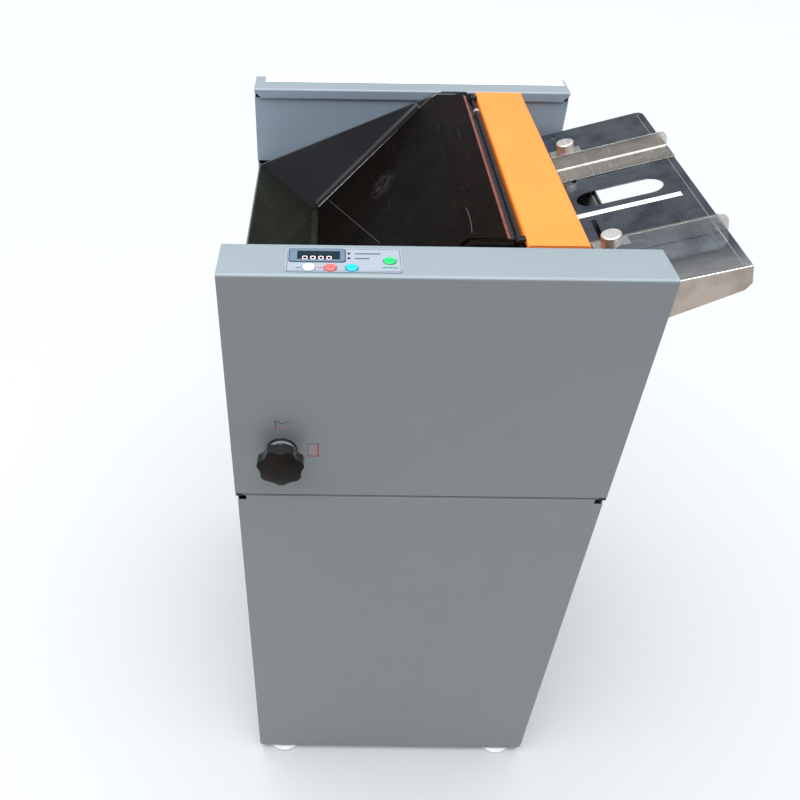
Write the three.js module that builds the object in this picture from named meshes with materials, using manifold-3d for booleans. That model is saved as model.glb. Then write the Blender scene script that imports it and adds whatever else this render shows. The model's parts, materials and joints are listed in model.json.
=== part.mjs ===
// A floor-standing saddle stitching machine: a sheet-steel cabinet with a sloping feed
// tray on the right, a stitching guard, a humped cover over the fold rollers and a
// V-shaped delivery trough on the left.
//
// Lengths are in millimetres. X runs from the left end towards the feed tray, Y from the
// operator's face towards the back and Z up from the floor. The finished group stands
// with the middle of its footprint at the origin.

import * as THREE from "three";
import { mergeVertices } from "three/addons/utils/BufferGeometryUtils.js";
import Module from "manifold-3d";

const wasm = await Module();
wasm.setup();

// Sizes that several pieces share
const GAP = 0.3; // between two pieces that touch
const RUNNING = 0.3; // round a shaft or pin in its hole
const SHEET = 1.5; // cabinet sheet
const OVERRUN = 2; // how far a cut runs past what it cuts
const WELD = 0.5; // how deep joined bodies run into each other
const PLATE = 6; // inner side plates
const BEND_STEPS = 3;
const ROUND_SIDES = 24;

const CABINET = {
  width: 493,
  depth: 597,
  top: 1044,
  bottom: 13,
  seam: 702.5,
  seamGap: 2.4,
  inset: 2.7,
  frontFlange: 66,
  rearFlange: 58,
  lipDrop: 16,
  joggle: 4,
  innerDrop: 119,
  lipCorner: 12,
  returnLip: 12,
  bend: 1,
  edgeBend: 2.5,
};
const END_PANEL = { bottomLip: 15, leftDrop: 122.5, rightDrop: 64, faceGap: 2 };
const LOWER_PANEL = { corner: 9, notchWidth: 11.5, notchHeight: 8, lip: 15, lipInset: 20 };
const BASE = { thickness: 5, endInset: 6, faceInset: 3 };
const FOOT = { radius: 31, height: 9, chamfer: 2.5, stem: 6, endInset: 48, faceInset: 25 };
const SCALE_STRIP = { leftInset: 16, rightInset: 4, width: 26, rearInset: 3, thickness: 0.8 };

// The side plates carry the mechanism; the black trough plates stand against them.
const SIDE = {
  faceInset: 70,
  rearInset: 57,
  endInset: 12,
  leftDrop: 132,
  shoulderInset: 257,
  shoulderDrop: 32,
  hipInset: 163,
  rightDrop: 94,
};
const TROUGH = {
  thickness: 3,
  plateGap: 0.5,
  left: 4.7,
  leftDrop: 122,
  skirt: 16,
  crownInset: 201,
  crownRise: 2,
  earRadius: 5.5,
  earDrop: 7,
  backInset: 163,
  backDrop: 64,
  toeReach: 39,
  toeDrop: 17,
  ledgeWidth: 18,
  ledgeThickness: 1.5,
  trimRise: 6,
};
const VALLEY = { x: 91, drop: 199 };
const RECEIVER = { left: 6, leftDrop: 121, thickness: 2, chuteGap: 20, chuteRise: 7, bend: 6 };
const HUMP = {
  rise: 3,
  rightInset: 165,
  rightDrop: 31,
  crownInset: 215.6,
  thickness: 2.5,
  exitGap: 15,
  crownBend: 12,
  edgeBend: 3.5,
  ledgeLap: 4,
  pinInset: 175,
  pinDrop: 5.5,
  pinRadius: 2.5,
  lugInset: 8,
  lugWidth: 12,
  lugReach: 6,
  lugDrop: 5.5,
};
const GUARD = {
  leftInset: 149,
  rightInset: 77,
  rearInset: 59.5,
  leftDrop: 34,
  rightDrop: 67,
  bend: 4,
  pinGap: 6,
  pinDrop: 6,
  pinRadius: 3,
  earRadius: 5,
  earInset: 4,
  earWidth: 10,
  endReach: 31,
};

// The feed plane: everything on it is placed along the slope (u), across the machine (Y)
// and square to the slope (w). Its zero is the line where the staples are driven.
const FEED = { inset: 101, drop: 83.2, angle: THREE.MathUtils.degToRad(15.84) };
const TRAY = {
  left: 25.3,
  right: 221.4,
  thickness: 1.5,
  corner: 11,
  holeLeft: 73.3,
  holeRight: 188.2,
  holeFront: 18.8,
  holeRear: 21,
  slotU: 82.1,
  slotWidth: 6.5,
  slotInset: 9.5,
  slotInner: 54.5,
  flangeLeft: 112,
  flangeLeftDrop: 52.7,
  flangeRightDrop: 31.7,
  flangeClip: 8,
};
const STRIP = { left: 26, right: 200.6, front: 43, width: 10, depth: 0.65, thickness: 0.3 };
const BRACKET = { thickness: 2, front: 110, drop: 129, reach: 97.3, tipDrop: 10, rib: 3 };
const GUIDE = {
  left: 53,
  right: 222,
  wall: 24,
  foot: 38.6,
  corner: 11,
  tabLeft: 60,
  tabRight: 103,
  tabReach: 17.4,
  screwReach: 10,
  sleeve: 6,
  rearWall: 100.1,
  frontWall: 146.6,
};
const SCREW = { radius: 12.7, height: 14, shank: 2.7, ring: 1, crown: 1.2, nutWidth: 12 };
const NUT = { length: 20, height: 6, drop: 0.8, tail: 1.6 };

// Stitching station
const ANVIL = { half: 24.7, thickness: 22, bore: 4.4 };
const POST = { left: 12, right: 18, height: 60, depth: 12, grooveSkin: 4, grooveFloor: 10 };
const BEAM = { left: 10, right: 16, bottom: 42, top: 62, tongueLeft: 4, tongueRight: 10 };
const HEAD = {
  spacing: 120,
  width: 40,
  left: 16,
  right: 18,
  bottom: 22,
  nose: 5,
  noseBottom: 13,
  noseWidth: 16,
  magazineRight: 24,
  magazineBottom: 27,
  magazineTop: 35,
  magazineWidth: 18,
};
const ROD = { radius: 4, inset: 22, bottom: -50 };
const CAM = { w: -84, shaft: 8, radius: 14, throw: 6, width: 8, inset: 18 };

// Fold station, placed along the same plane
const FOLD = { u: -147.6, table: 2, tableGap: 16.6, slotHalf: 7, slotInset: 15 };
const ROLLER = { radius: 15.5, nip: 1, w: -21, journal: 6, inset: 10 };
const GEAR = { teeth: 20, width: 8, addendum: 1.35, dedendum: 1.75 };
const PULLEY = { radius: 14, width: 8, inset: 4, motorRadius: 10, motorW: -120 };
const BELT = { thickness: 1.5 };
const MOTOR = {
  radius: 32,
  length: 80,
  flange: 45,
  flangeThickness: 6,
  standoff: 4,
  standoffInset: 8,
  shaft: 5,
  shaftDepth: 14,
};
const KNIFE = {
  blade: 1.5,
  bladeBottom: 8,
  barBottom: 42,
  barTop: 54,
  bar: 6,
  post: 10,
  postHeight: 56,
  postDepth: 12,
  grooveFloor: 12,
};
const STOP = { reach: 24, thickness: 8, height: 10, inset: 20, foot: 22, footThickness: 3 };

// Controls on the front flange and face
const LABEL = {
  left: 73.5,
  right: 200,
  front: 7,
  rear: 56,
  thickness: 0.8,
  corner: 5,
  windowLeft: 86,
  windowRight: 132.5,
  windowFront: 30.2,
  windowRear: 48.2,
};
const BEZEL = { left: 77.6, right: 138, front: 26.5, rear: 52.8, thickness: 1, corner: 3 };
const WINDOW = { depth: 2.6 };
const BUTTON = {
  radius: 6.75,
  rise: 1.9,
  dome: 1,
  collar: 8.2,
  collarThickness: 2.5,
  stem: 2.5,
  switchGap: 2,
};
const KEY = { row: 14.8, whiteX: 98.9, redX: 122.1, blueX: 145.2, greenX: 186.5, greenY: 29.6 };
const BUTTONS = [
  { name: "button_start_white", x: KEY.whiteX, y: KEY.row, colour: 0xe4e6e4 },
  { name: "button_stop_red", x: KEY.redX, y: KEY.row, colour: 0xb5251c },
  { name: "button_count_blue", x: KEY.blueX, y: KEY.row, colour: 0x2aa7c9 },
  { name: "button_go_green", x: KEY.greenX, y: KEY.greenY, colour: 0x2f9a4a },
];
const LAMP = { radius: 1.5, rise: 0.8, x: 142.2, rearY: 44.5, frontY: 34.5 };
const LAMPS = [
  { name: "lamp_rear", x: LAMP.x, y: LAMP.rearY },
  { name: "lamp_front", x: LAMP.x, y: LAMP.frontY },
];
const BOARD = {
  inset: 3,
  front: 6,
  rear: 57,
  drop: 20.5,
  thickness: 1.6,
  post: 2.5,
  switchHalf: 4,
  switchHeight: 2.5,
};
const KNOB = {
  x: 64,
  rise: 84.5,
  lobe: 29.7,
  valley: 26.2,
  lobes: 7,
  flatnessShare: 2,
  tip: 38,
  rim: 33,
  back: 19,
  hub: 12.5,
  hubBack: 3,
  bore: 4.3,
  boreDepth: 26,
};
const SELECTOR = { disc: 19, hole: 20.25, proud: 1, box: 46, boxDepth: 36, shaft: 4, shaftEnd: 28 };

// Supply
const CONTROL_BOX = { left: 60, width: 200, rearGap: 3, depth: 138, height: 110 };
const INLET = {
  x: 90,
  z: 62,
  width: 50,
  height: 28,
  depth: 26,
  flangeLap: 5,
  flangeThickness: 2,
  socketWidth: 24,
  socketHeight: 17,
  socketDepth: 16,
};

// Places worked out from the sizes above
const mirrorY = (y) => CABINET.depth - y;
const inside = ([from, to], inset) => [from + inset, to - inset];
const fromRight = (inset) => CABINET.width - inset;
const fromTop = (drop) => CABINET.top - drop;
const middleY = CABINET.depth / 2;
const sideFront = [SIDE.faceInset, SIDE.faceInset + PLATE];
const sideRear = [mirrorY(SIDE.rearInset + PLATE), mirrorY(SIDE.rearInset)];
const troughFront = [sideFront[1] + TROUGH.plateGap, sideFront[1] + TROUGH.plateGap + TROUGH.thickness];
const troughRear = [sideRear[0] - TROUGH.plateGap - TROUGH.thickness, sideRear[0] - TROUGH.plateGap];
const bay = [troughFront[1] + TROUGH.plateGap, troughRear[0] - TROUGH.plateGap];
const baseBottom = CABINET.bottom + SHEET + GAP;
const baseTop = baseBottom + BASE.thickness;
const flangeUnderside = fromTop(SHEET);
const labelBottom = CABINET.top + GAP;
const labelTop = labelBottom + LABEL.thickness;
const boardTop = flangeUnderside - BOARD.drop;
const feedX = fromRight(FEED.inset);
const feedZ = fromTop(FEED.drop);
const guardX = [fromRight(GUARD.leftInset), fromRight(GUARD.rightInset)];
const guardY = [SIDE.faceInset, mirrorY(GUARD.rearInset)];
const guardPin = [guardX[0] - GUARD.pinGap, fromTop(GUARD.pinDrop)];
const valleyZ = fromTop(VALLEY.drop);
const humpTop = CABINET.top + HUMP.rise;
const humpRight = fromRight(HUMP.rightInset);
const humpPin = [fromRight(HUMP.pinInset), fromTop(HUMP.pinDrop)];
const crownX = fromRight(HUMP.crownInset);
const humpAngle = Math.atan2(humpTop - valleyZ, crownX - VALLEY.x);
const ledgeEnds = [troughFront[1] + TROUGH.ledgeWidth, troughRear[0] - TROUGH.ledgeWidth];
const humpY = [troughFront[1] + GAP, ledgeEnds[1] + HUMP.ledgeLap];
const trayY = [SIDE.faceInset, mirrorY(SIDE.faceInset)];

// The fold rollers lie on both sides of the knife, and their gears' module follows from
// the distance between them
const rollerU = (side) => FOLD.u + side * (ROLLER.radius + ROLLER.nip / 2);
const gearModule = (2 * ROLLER.radius + ROLLER.nip) / GEAR.teeth;

// The inner table ends a little short of the hump's slope
const planeRise = Math.tan(FEED.angle);
const humpRise = Math.tan(humpAngle);
const tableEndX =
  (VALLEY.x + FOLD.tableGap + (feedZ - feedX * planeRise - valleyZ) / humpRise) /
  (1 - planeRise / humpRise);
const tableLeft = (tableEndX - feedX) / Math.cos(FEED.angle);

// Finishes
const finish = (color, roughness, metalness) =>
  new THREE.MeshStandardMaterial({ color, roughness, metalness });
const GREY_PAINT = finish(0x828b8f, 0.55, 0.1);
const PALE_PAINT = finish(0xaab6c0, 0.5, 0.1);
const ORANGE_PAINT = finish(0xf0913a, 0.45, 0.05);
const STAINLESS = finish(0x8c949c, 0.28, 1);
const STEEL = finish(0x8a8d90, 0.4, 0.9);
const DARK_STEEL = finish(0x323236, 0.5, 0.6);
const SMOKED_ACRYLIC = finish(0x191210, 0.12, 0);
const OLIVE_SHEET = finish(0x23261e, 0.15, 0.1);
const RUBBER = finish(0x1c1c1d, 0.85, 0);
const WHITE_SATIN = finish(0xe2e6e8, 0.5, 0);
const LABEL_FILM = finish(0xc3c3cf, 0.45, 0);
const BEZEL_BLUE = finish(0x8ca0b4, 0.4, 0.1);
const DISPLAY_GLASS = finish(0x0e2a30, 0.08, 0);
const BAKELITE = finish(0x15110f, 0.2, 0);
const LIGHT_PLASTIC = finish(0xc4c8c8, 0.5, 0);
const BLACK_PLASTIC = finish(0x161617, 0.5, 0);
const BOARD_GREEN = finish(0x1f5a3a, 0.5, 0);

// From three.js geometry to a solid that can be joined and cut, and back
function solid(geometry) {
  const bare = geometry.clone();
  bare.deleteAttribute("normal");
  bare.deleteAttribute("uv");
  const merged = mergeVertices(bare);
  const corners = merged.index.array;
  const triangles = [];
  for (let i = 0; i < corners.length; i += 3) {
    const [a, b, c] = corners.slice(i, i + 3);
    if (a !== b && b !== c && c !== a) triangles.push(a, b, c);
  }
  return new wasm.Manifold(
    new wasm.Mesh({
      numProp: 3,
      vertProperties: new Float32Array(merged.attributes.position.array),
      triVerts: new Uint32Array(triangles),
    }),
  );
}

function geometryOf(body) {
  const mesh = body.getMesh();
  const geometry = new THREE.BufferGeometry();
  geometry.setAttribute("position", new THREE.BufferAttribute(mesh.vertProperties, mesh.numProp));
  geometry.setIndex(new THREE.BufferAttribute(mesh.triVerts, 1));
  geometry.computeVertexNormals();
  return geometry;
}

const machine = new THREE.Group();
const feedPlane = new THREE.Group();
feedPlane.position.set(feedX, 0, feedZ);
feedPlane.rotation.y = -FEED.angle;
machine.add(feedPlane);

function place(name, body, material, group = machine) {
  const mesh = new THREE.Mesh(geometryOf(body), material);
  mesh.name = name;
  group.add(mesh);
  return mesh;
}

// A place in the feed plane as [x, z] of the machine
function fromFeed(u, w) {
  const across = Math.cos(FEED.angle);
  const up = Math.sin(FEED.angle);
  return [feedX + u * across - w * up, feedZ + u * up + w * across];
}

// The height of the feed plane, or of a plane w above it, at x
function feedHeight(x, w) {
  return feedZ + (x - feedX) * planeRise + w / Math.cos(FEED.angle);
}

// Basic bodies
function block([x0, x1], [y0, y1], [z0, z1]) {
  const geometry = new THREE.BoxGeometry(x1 - x0, y1 - y0, z1 - z0);
  geometry.translate((x0 + x1) / 2, (y0 + y1) / 2, (z0 + z1) / 2);
  return solid(geometry);
}

const AXES = { x: [1, 0, 0], y: [0, 1, 0], z: [0, 0, 1], back: [0, -1, 0], down: [0, 0, -1] };
const axis = (key) => new THREE.Vector3(...AXES[key]);
const basis = (a, b, c) => new THREE.Matrix4().makeBasis(axis(a), axis(b), axis(c));
const PRISM_BASIS = { x: basis("y", "z", "x"), y: basis("x", "z", "back"), z: basis("x", "y", "z") };

// An outline drawn square to an axis and drawn out along it. The outline's coordinates are
// (y, z) along X, (x, z) along Y and (x, y) along Z.
function prism(along, outline, [from, to], holes = []) {
  const vectors = (points) => points.map(([a, b]) => new THREE.Vector2(a, b));
  const shape = new THREE.Shape(vectors(outline));
  shape.holes = holes.map((hole) => new THREE.Path(vectors(hole)));
  const geometry = new THREE.ExtrudeGeometry(shape, { depth: to - from, bevelEnabled: false });
  geometry.applyMatrix4(PRISM_BASIS[along]);
  geometry.translate(along === "x" ? from : 0, along === "y" ? to : 0, along === "z" ? from : 0);
  return solid(geometry);
}

function arc([a, b], radius, start, end, steps) {
  const points = [];
  for (let i = 0; i <= steps; i += 1) {
    const angle = start + ((end - start) * i) / steps;
    points.push([a + radius * Math.cos(angle), b + radius * Math.sin(angle)]);
  }
  return points;
}

const circle = (centre, radius, sides = ROUND_SIDES) =>
  arc(centre, radius, 0, 2 * Math.PI, sides).slice(0, -1);
const rod = (along, centre, radius, span, sides) => prism(along, circle(centre, radius, sides), span);

function rounded([a0, a1], [b0, b1], radius, steps = BEND_STEPS) {
  const quarter = Math.PI / 2;
  const centres = [
    [a1 - radius, b1 - radius],
    [a0 + radius, b1 - radius],
    [a0 + radius, b0 + radius],
    [a1 - radius, b0 + radius],
  ];
  return centres.flatMap((centre, i) => arc(centre, radius, i * quarter, (i + 1) * quarter, steps));
}

const rectangle = ([a0, a1], [b0, b1]) => [
  [a0, b0],
  [a1, b0],
  [a1, b1],
  [a0, b1],
];

// A body turned round an axis from [radius, height] points that start and end on it
function turned(along, profile, [x, y, z], sides = ROUND_SIDES) {
  const points = profile.map(([radius, height]) => new THREE.Vector2(radius, height));
  const geometry = new THREE.LatheGeometry(points, sides);
  geometry.applyMatrix4(along === "z" ? basis("x", "z", "back") : basis("x", "back", "down"));
  geometry.translate(x, y, z);
  return solid(geometry);
}

// A bent sheet. The points lie on one face and the sheet lies on the left of the path; a
// third value in a point is its own bend radius.
function bentSheet(face, thickness, bend) {
  const points = face.map(([a, b]) => new THREE.Vector2(a, b));
  const legs = points.slice(1).map((point, i) => point.clone().sub(points[i]).normalize());
  const left = (leg) => new THREE.Vector2(-leg.y, leg.x);
  const near = [];
  const far = [];
  points.forEach((point, i) => {
    const before = legs[Math.max(i - 1, 0)];
    const after = legs[Math.min(i, legs.length - 1)];
    const turn = Math.atan2(before.cross(after), before.dot(after));
    const mitre = left(before).add(left(after));
    mitre.multiplyScalar(thickness / (1 + before.dot(after)));
    const other = point.clone().add(mitre);
    const inner = face[i][2] ?? bend;
    for (const [list, corner, inside] of [
      [near, point, turn < 0],
      [far, other, turn > 0],
    ])
      list.push(...corneredBy(corner, before, after, turn, inside ? inner : inner + thickness));
  });
  return [...near, ...far.reverse()];
}

function corneredBy(corner, before, after, turn, radius) {
  if (before.distanceTo(after) < Number.EPSILON) return [[corner.x, corner.y]];
  const run = radius * Math.tan(Math.abs(turn) / 2);
  const side = Math.sign(turn);
  const start = corner.clone().addScaledVector(before, -run);
  const normal = new THREE.Vector2(-before.y, before.x).multiplyScalar(side);
  const centre = start.clone().addScaledVector(normal, radius);
  const from = Math.atan2(-normal.y, -normal.x);
  return arc([centre.x, centre.y], radius, from, from + turn, BEND_STEPS);
}

const union = (...bodies) => bodies.reduce((sum, body) => sum.add(body));
const cut = (body, ...tools) => tools.reduce((rest, tool) => rest.subtract(tool), body);

// Cabinet: base plate, feet and panels
function buildBase() {
  const x = [BASE.endInset, CABINET.width - BASE.endInset];
  const y = [BASE.faceInset, CABINET.depth - BASE.faceInset];
  place("base_plate", block(x, y, [baseBottom, baseTop]), STEEL);
  for (const [end, footX] of [
    ["left", FOOT.endInset],
    ["right", CABINET.width - FOOT.endInset],
  ])
    for (const [face, footY] of [
      ["front", FOOT.faceInset],
      ["rear", CABINET.depth - FOOT.faceInset],
    ]) {
      const foot = turned(
        "z",
        [
          [0, 0],
          [FOOT.radius - FOOT.chamfer / 2, 0],
          [FOOT.radius, FOOT.chamfer / 2],
          [FOOT.radius, FOOT.height - FOOT.chamfer],
          [FOOT.radius - FOOT.chamfer, FOOT.height],
          [FOOT.stem, FOOT.height],
          [FOOT.stem, baseBottom - GAP],
          [0, baseBottom - GAP],
        ],
        [0, 0, 0],
      );
      place(`foot_${face}_${end}`, foot, RUBBER).position.set(footX, footY, 0);
    }
}

function buildEndPanel(name, x, top, lip) {
  const faceY = inside([0, CABINET.depth], END_PANEL.faceGap);
  const innerFront = CABINET.frontFlange - CABINET.joggle + GAP;
  const innerRear = CABINET.depth - CABINET.rearFlange + CABINET.joggle - GAP;
  const shoulder = CABINET.seam - CABINET.seamGap / 2;
  const outline = [
    [faceY[0], CABINET.bottom],
    [faceY[1], CABINET.bottom],
    [faceY[1], shoulder],
    [innerRear, shoulder],
    [innerRear, top],
    [innerFront, top],
    [innerFront, shoulder],
    [faceY[0], shoulder],
  ];
  const foot = block(lip, faceY, [CABINET.bottom, CABINET.bottom + SHEET]);
  return place(name, union(prism("x", outline, x), foot), GREY_PAINT);
}

function buildEndPanels() {
  const left = CABINET.inset;
  const right = CABINET.width - CABINET.inset;
  const lip = END_PANEL.bottomLip;
  const leftTop = fromTop(END_PANEL.leftDrop);
  const rightTop = fromTop(END_PANEL.rightDrop);
  buildEndPanel("left_end_panel", [left, left + SHEET], leftTop, [left, left + lip]);
  buildEndPanel("right_end_panel", [right - SHEET, right], rightTop, [right - lip, right]);
}

// The lower front and rear panels: rounded bottom corners and a notch in each top corner
function lowerPanel(y, lipY) {
  const x = [CABINET.inset, CABINET.width - CABINET.inset];
  const top = CABINET.seam - CABINET.seamGap / 2;
  const skirt = top - LOWER_PANEL.notchHeight;
  const outline = rounded(x, [CABINET.bottom, top], LOWER_PANEL.corner);
  const upper = rectangle(
    [x[0] - OVERRUN, x[1] + OVERRUN],
    [top - LOWER_PANEL.corner - OVERRUN, top + OVERRUN],
  );
  const square = block(x, y, [top - LOWER_PANEL.corner - OVERRUN, top]);
  const bottom = prism("y", outline, y);
  const notches = [x[0], x[1]].map((edge) =>
    block(
      [edge - LOWER_PANEL.notchWidth, edge + LOWER_PANEL.notchWidth],
      [y[0] - OVERRUN, y[1] + OVERRUN],
      [skirt, top + OVERRUN],
    ),
  );
  const lipX = inside(x, LOWER_PANEL.lipInset);
  const lip = block(lipX, lipY, [CABINET.bottom, CABINET.bottom + SHEET]);
  const plate = cut(bottom, prism("y", upper, [y[0] - OVERRUN, y[1] + OVERRUN]));
  return cut(union(plate, square, lip), ...notches);
}

function buildLowerPanels() {
  place("front_lower_panel", lowerPanel([0, SHEET], [0, LOWER_PANEL.lip]), GREY_PAINT);
  const rearY = [CABINET.depth - SHEET, CABINET.depth];
  const inlet = block(
    [INLET.x - INLET.width / 2 - GAP, INLET.x + INLET.width / 2 + GAP],
    [rearY[0] - OVERRUN, rearY[1] + OVERRUN],
    [INLET.z - INLET.height / 2 - GAP, INLET.z + INLET.height / 2 + GAP],
  );
  const panel = lowerPanel(rearY, [CABINET.depth - LOWER_PANEL.lip, CABINET.depth]);
  place("rear_lower_panel", cut(panel, inlet), GREY_PAINT);
}

// A folded cover: face, top flange, hemmed lip and inner wall, closed at both ends. The
// section is drawn as (distance in from the face, height).
function upperCover(flange, toY) {
  const bottom = CABINET.seam + CABINET.seamGap / 2;
  const wall = flange - CABINET.joggle;
  const lip = CABINET.top - CABINET.lipDrop;
  const face = [
    [wall, fromTop(CABINET.innerDrop)],
    [wall, lip],
    [flange, lip],
    [flange, CABINET.top],
    [0, CABINET.top, CABINET.edgeBend],
    [0, bottom],
    [CABINET.returnLip, bottom],
  ];
  const section = bentSheet(face, SHEET, CABINET.bend).map(([d, z]) => [toY(d), z]);
  const shell = prism("x", section, [0, CABINET.width]);
  const edge = CABINET.edgeBend + SHEET;
  const corner = CABINET.bend + SHEET;
  const end = [
    [WELD, bottom + WELD],
    [wall - WELD, bottom + WELD],
    [wall - WELD, lip + WELD],
    [flange - corner, lip + WELD],
    [flange - WELD, lip + corner],
    [flange - WELD, CABINET.top - corner],
    [flange - corner, CABINET.top - WELD],
    [edge, CABINET.top - WELD],
    [WELD, CABINET.top - edge],
  ].map(([d, z]) => [toY(d), z]);
  const ends = [
    [WELD, WELD + SHEET],
    [CABINET.width - WELD - SHEET, CABINET.width - WELD],
  ].map((span) => prism("x", end, span));
  const lipY = [toY(wall + WELD), toY(flange + OVERRUN)].sort((a, b) => a - b);
  const corners = [
    [-OVERRUN, CABINET.lipCorner],
    [CABINET.width + OVERRUN, CABINET.width - CABINET.lipCorner],
  ].map(([outer, inner]) => {
    const snip = [
      [outer, lip - OVERRUN],
      [inner, lip - OVERRUN],
      [inner, lip],
      [outer, lip + CABINET.lipDrop - CABINET.bend - SHEET],
    ];
    return prism("y", outer < inner ? snip : snip.reverse(), lipY);
  });
  return cut(union(shell, ...ends), ...corners);
}

function buildFrontCover() {
  const cover = upperCover(CABINET.frontFlange, (d) => d);
  const through = [flangeUnderside - OVERRUN, CABINET.top + OVERRUN];
  const hole = ({ x, y }, radius) => rod("z", [x, y], radius + RUNNING, through);
  const tools = [
    ...BUTTONS.map((button) => hole(button, BUTTON.radius)),
    ...LAMPS.map((lamp) => hole(lamp, LAMP.radius)),
  ];
  const window = block(
    [LABEL.windowLeft, LABEL.windowRight],
    [LABEL.windowFront, LABEL.windowRear],
    through,
  );
  const knobAt = [KNOB.x, CABINET.seam + KNOB.rise];
  const knobHole = rod("y", knobAt, SELECTOR.hole, [-OVERRUN, SHEET + OVERRUN]);
  place("front_upper_cover", cut(cover, ...tools, window, knobHole), PALE_PAINT);
}

function buildRearCover() {
  place("rear_upper_cover", upperCover(CABINET.rearFlange, mirrorY), PALE_PAINT);
  const rear = CABINET.depth - SCALE_STRIP.rearInset;
  const strip = block(
    [SCALE_STRIP.leftInset, fromRight(SCALE_STRIP.rightInset)],
    [rear - SCALE_STRIP.width, rear],
    [labelBottom, labelBottom + SCALE_STRIP.thickness],
  );
  place("rear_scale_strip", strip, WHITE_SATIN);
}

// Side plates and the black plates that close the trough
function buildSidePlates() {
  const outline = [
    [SIDE.endInset, baseTop + GAP],
    [CABINET.width - SIDE.endInset, baseTop + GAP],
    [CABINET.width - SIDE.endInset, fromTop(SIDE.rightDrop)],
    [fromRight(SIDE.hipInset), fromTop(SIDE.rightDrop)],
    [fromRight(SIDE.hipInset), fromTop(SIDE.shoulderDrop)],
    [fromRight(SIDE.shoulderInset), fromTop(SIDE.shoulderDrop)],
    [SIDE.endInset, fromTop(SIDE.leftDrop)],
  ];
  const bores = [
    [...fromFeed(rollerU(-1), ROLLER.w), ROLLER.journal],
    [...fromFeed(rollerU(1), ROLLER.w), ROLLER.journal],
    [...fromFeed(0, CAM.w), CAM.shaft],
  ].map(([x, z, radius]) => circle([x, z], radius + RUNNING));
  place("front_side_plate", prism("y", outline, sideFront, bores), STEEL);
  place("rear_side_plate", prism("y", outline, sideRear, bores), STEEL);
}

// The hump's outer face, from its right edge over the crown and down to the exit gap
function humpFace(drop) {
  const cos = Math.cos(humpAngle);
  const sin = Math.sin(humpAngle);
  const foot = [
    VALLEY.x + HUMP.exitGap * cos + drop * sin,
    valleyZ + HUMP.exitGap * sin - drop * cos,
  ];
  return [
    [humpRight - drop, humpTop - HUMP.rightDrop],
    [humpRight - drop, humpTop - drop, HUMP.edgeBend],
    [crownX + drop * Math.tan(humpAngle / 2), humpTop - drop, HUMP.crownBend],
    foot,
  ];
}

function buildTroughPlates() {
  const backX = fromRight(TROUGH.backInset);
  const crownTop = CABINET.top + TROUGH.crownRise;
  const earBottom = guardPin[1] - TROUGH.earDrop;
  const leftTop = fromTop(TROUGH.leftDrop);
  const outline = [
    [TROUGH.left, leftTop - TROUGH.skirt],
    [VALLEY.x, valleyZ - TROUGH.skirt],
    [VALLEY.x + TROUGH.toeReach, valleyZ - TROUGH.toeDrop],
    [backX, fromTop(TROUGH.backDrop)],
    [backX, earBottom],
    [guardPin[0] + TROUGH.earRadius, earBottom],
    ...arc(guardPin, TROUGH.earRadius, 0, Math.PI / 2, 2 * BEND_STEPS),
    [backX, guardPin[1] + TROUGH.earRadius],
    [backX, crownTop],
    [fromRight(TROUGH.crownInset), crownTop],
    [TROUGH.left, leftTop],
  ];
  const bores = [
    circle(humpPin, HUMP.pinRadius + RUNNING),
    circle(guardPin, GUARD.pinRadius + RUNNING),
  ];
  const [, [, ledgeTop], ...slopeFace] = humpFace(HUMP.thickness + GAP);
  const ledgeFace = [[humpPin[0] - HUMP.lugReach, ledgeTop], ...slopeFace];
  const ledge = bentSheet(ledgeFace, TROUGH.ledgeThickness, HUMP.crownBend);
  const frontLedge = prism("y", ledge, [troughFront[1] - WELD, ledgeEnds[0]]);
  const rearLedge = prism("y", ledge, [ledgeEnds[1], troughRear[0] + WELD]);

  // The raised trim beside the hump's rear edge ends at the plate's sloping top edge
  const along = [Math.cos(humpAngle), Math.sin(humpAngle)];
  const onSlope = (s, h) => [
    VALLEY.x + s * along[0] - h * along[1],
    valleyZ + s * along[1] + h * along[0],
  ];
  const rise = (crownTop - leftTop) / (fromRight(TROUGH.crownInset) - TROUGH.left);
  const [x, z] = onSlope(0, TROUGH.trimRise);
  const trimTop = (leftTop + rise * (x - TROUGH.left) - z) / (along[1] - rise * along[0]);
  const depth = HUMP.thickness + GAP + WELD;
  const bar = [
    onSlope(HUMP.exitGap, -depth),
    onSlope(trimTop, -depth),
    onSlope(trimTop, TROUGH.trimRise),
    onSlope(HUMP.exitGap, TROUGH.trimRise),
  ];
  const trim = prism("y", bar, [humpY[1] + GAP, troughRear[0] + WELD]);
  const plate = (span, ...parts) => union(prism("y", outline, span, bores), ...parts);
  place("trough_front_plate", plate(troughFront, frontLedge), DARK_STEEL);
  place("trough_rear_plate", plate(troughRear, rearLedge, trim), DARK_STEEL);
  const pins = inside([troughFront[0], troughRear[1]], GAP);
  place("hump_hinge_rod", rod("y", humpPin, HUMP.pinRadius, pins), STEEL);
  place("guard_hinge_rod", rod("y", guardPin, GUARD.pinRadius, pins), STEEL);
}

function buildReceiver() {
  const [rollerX] = fromFeed(rollerU(-1), ROLLER.w);
  const face = [
    [rollerX - ROLLER.radius - RECEIVER.chuteGap, valleyZ + RECEIVER.chuteRise],
    [VALLEY.x, valleyZ],
    [RECEIVER.left, fromTop(RECEIVER.leftDrop)],
  ];
  const sheet = prism("y", bentSheet(face, RECEIVER.thickness, RECEIVER.bend), bay);
  place("receiving_plate", sheet, OLIVE_SHEET);
}

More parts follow.
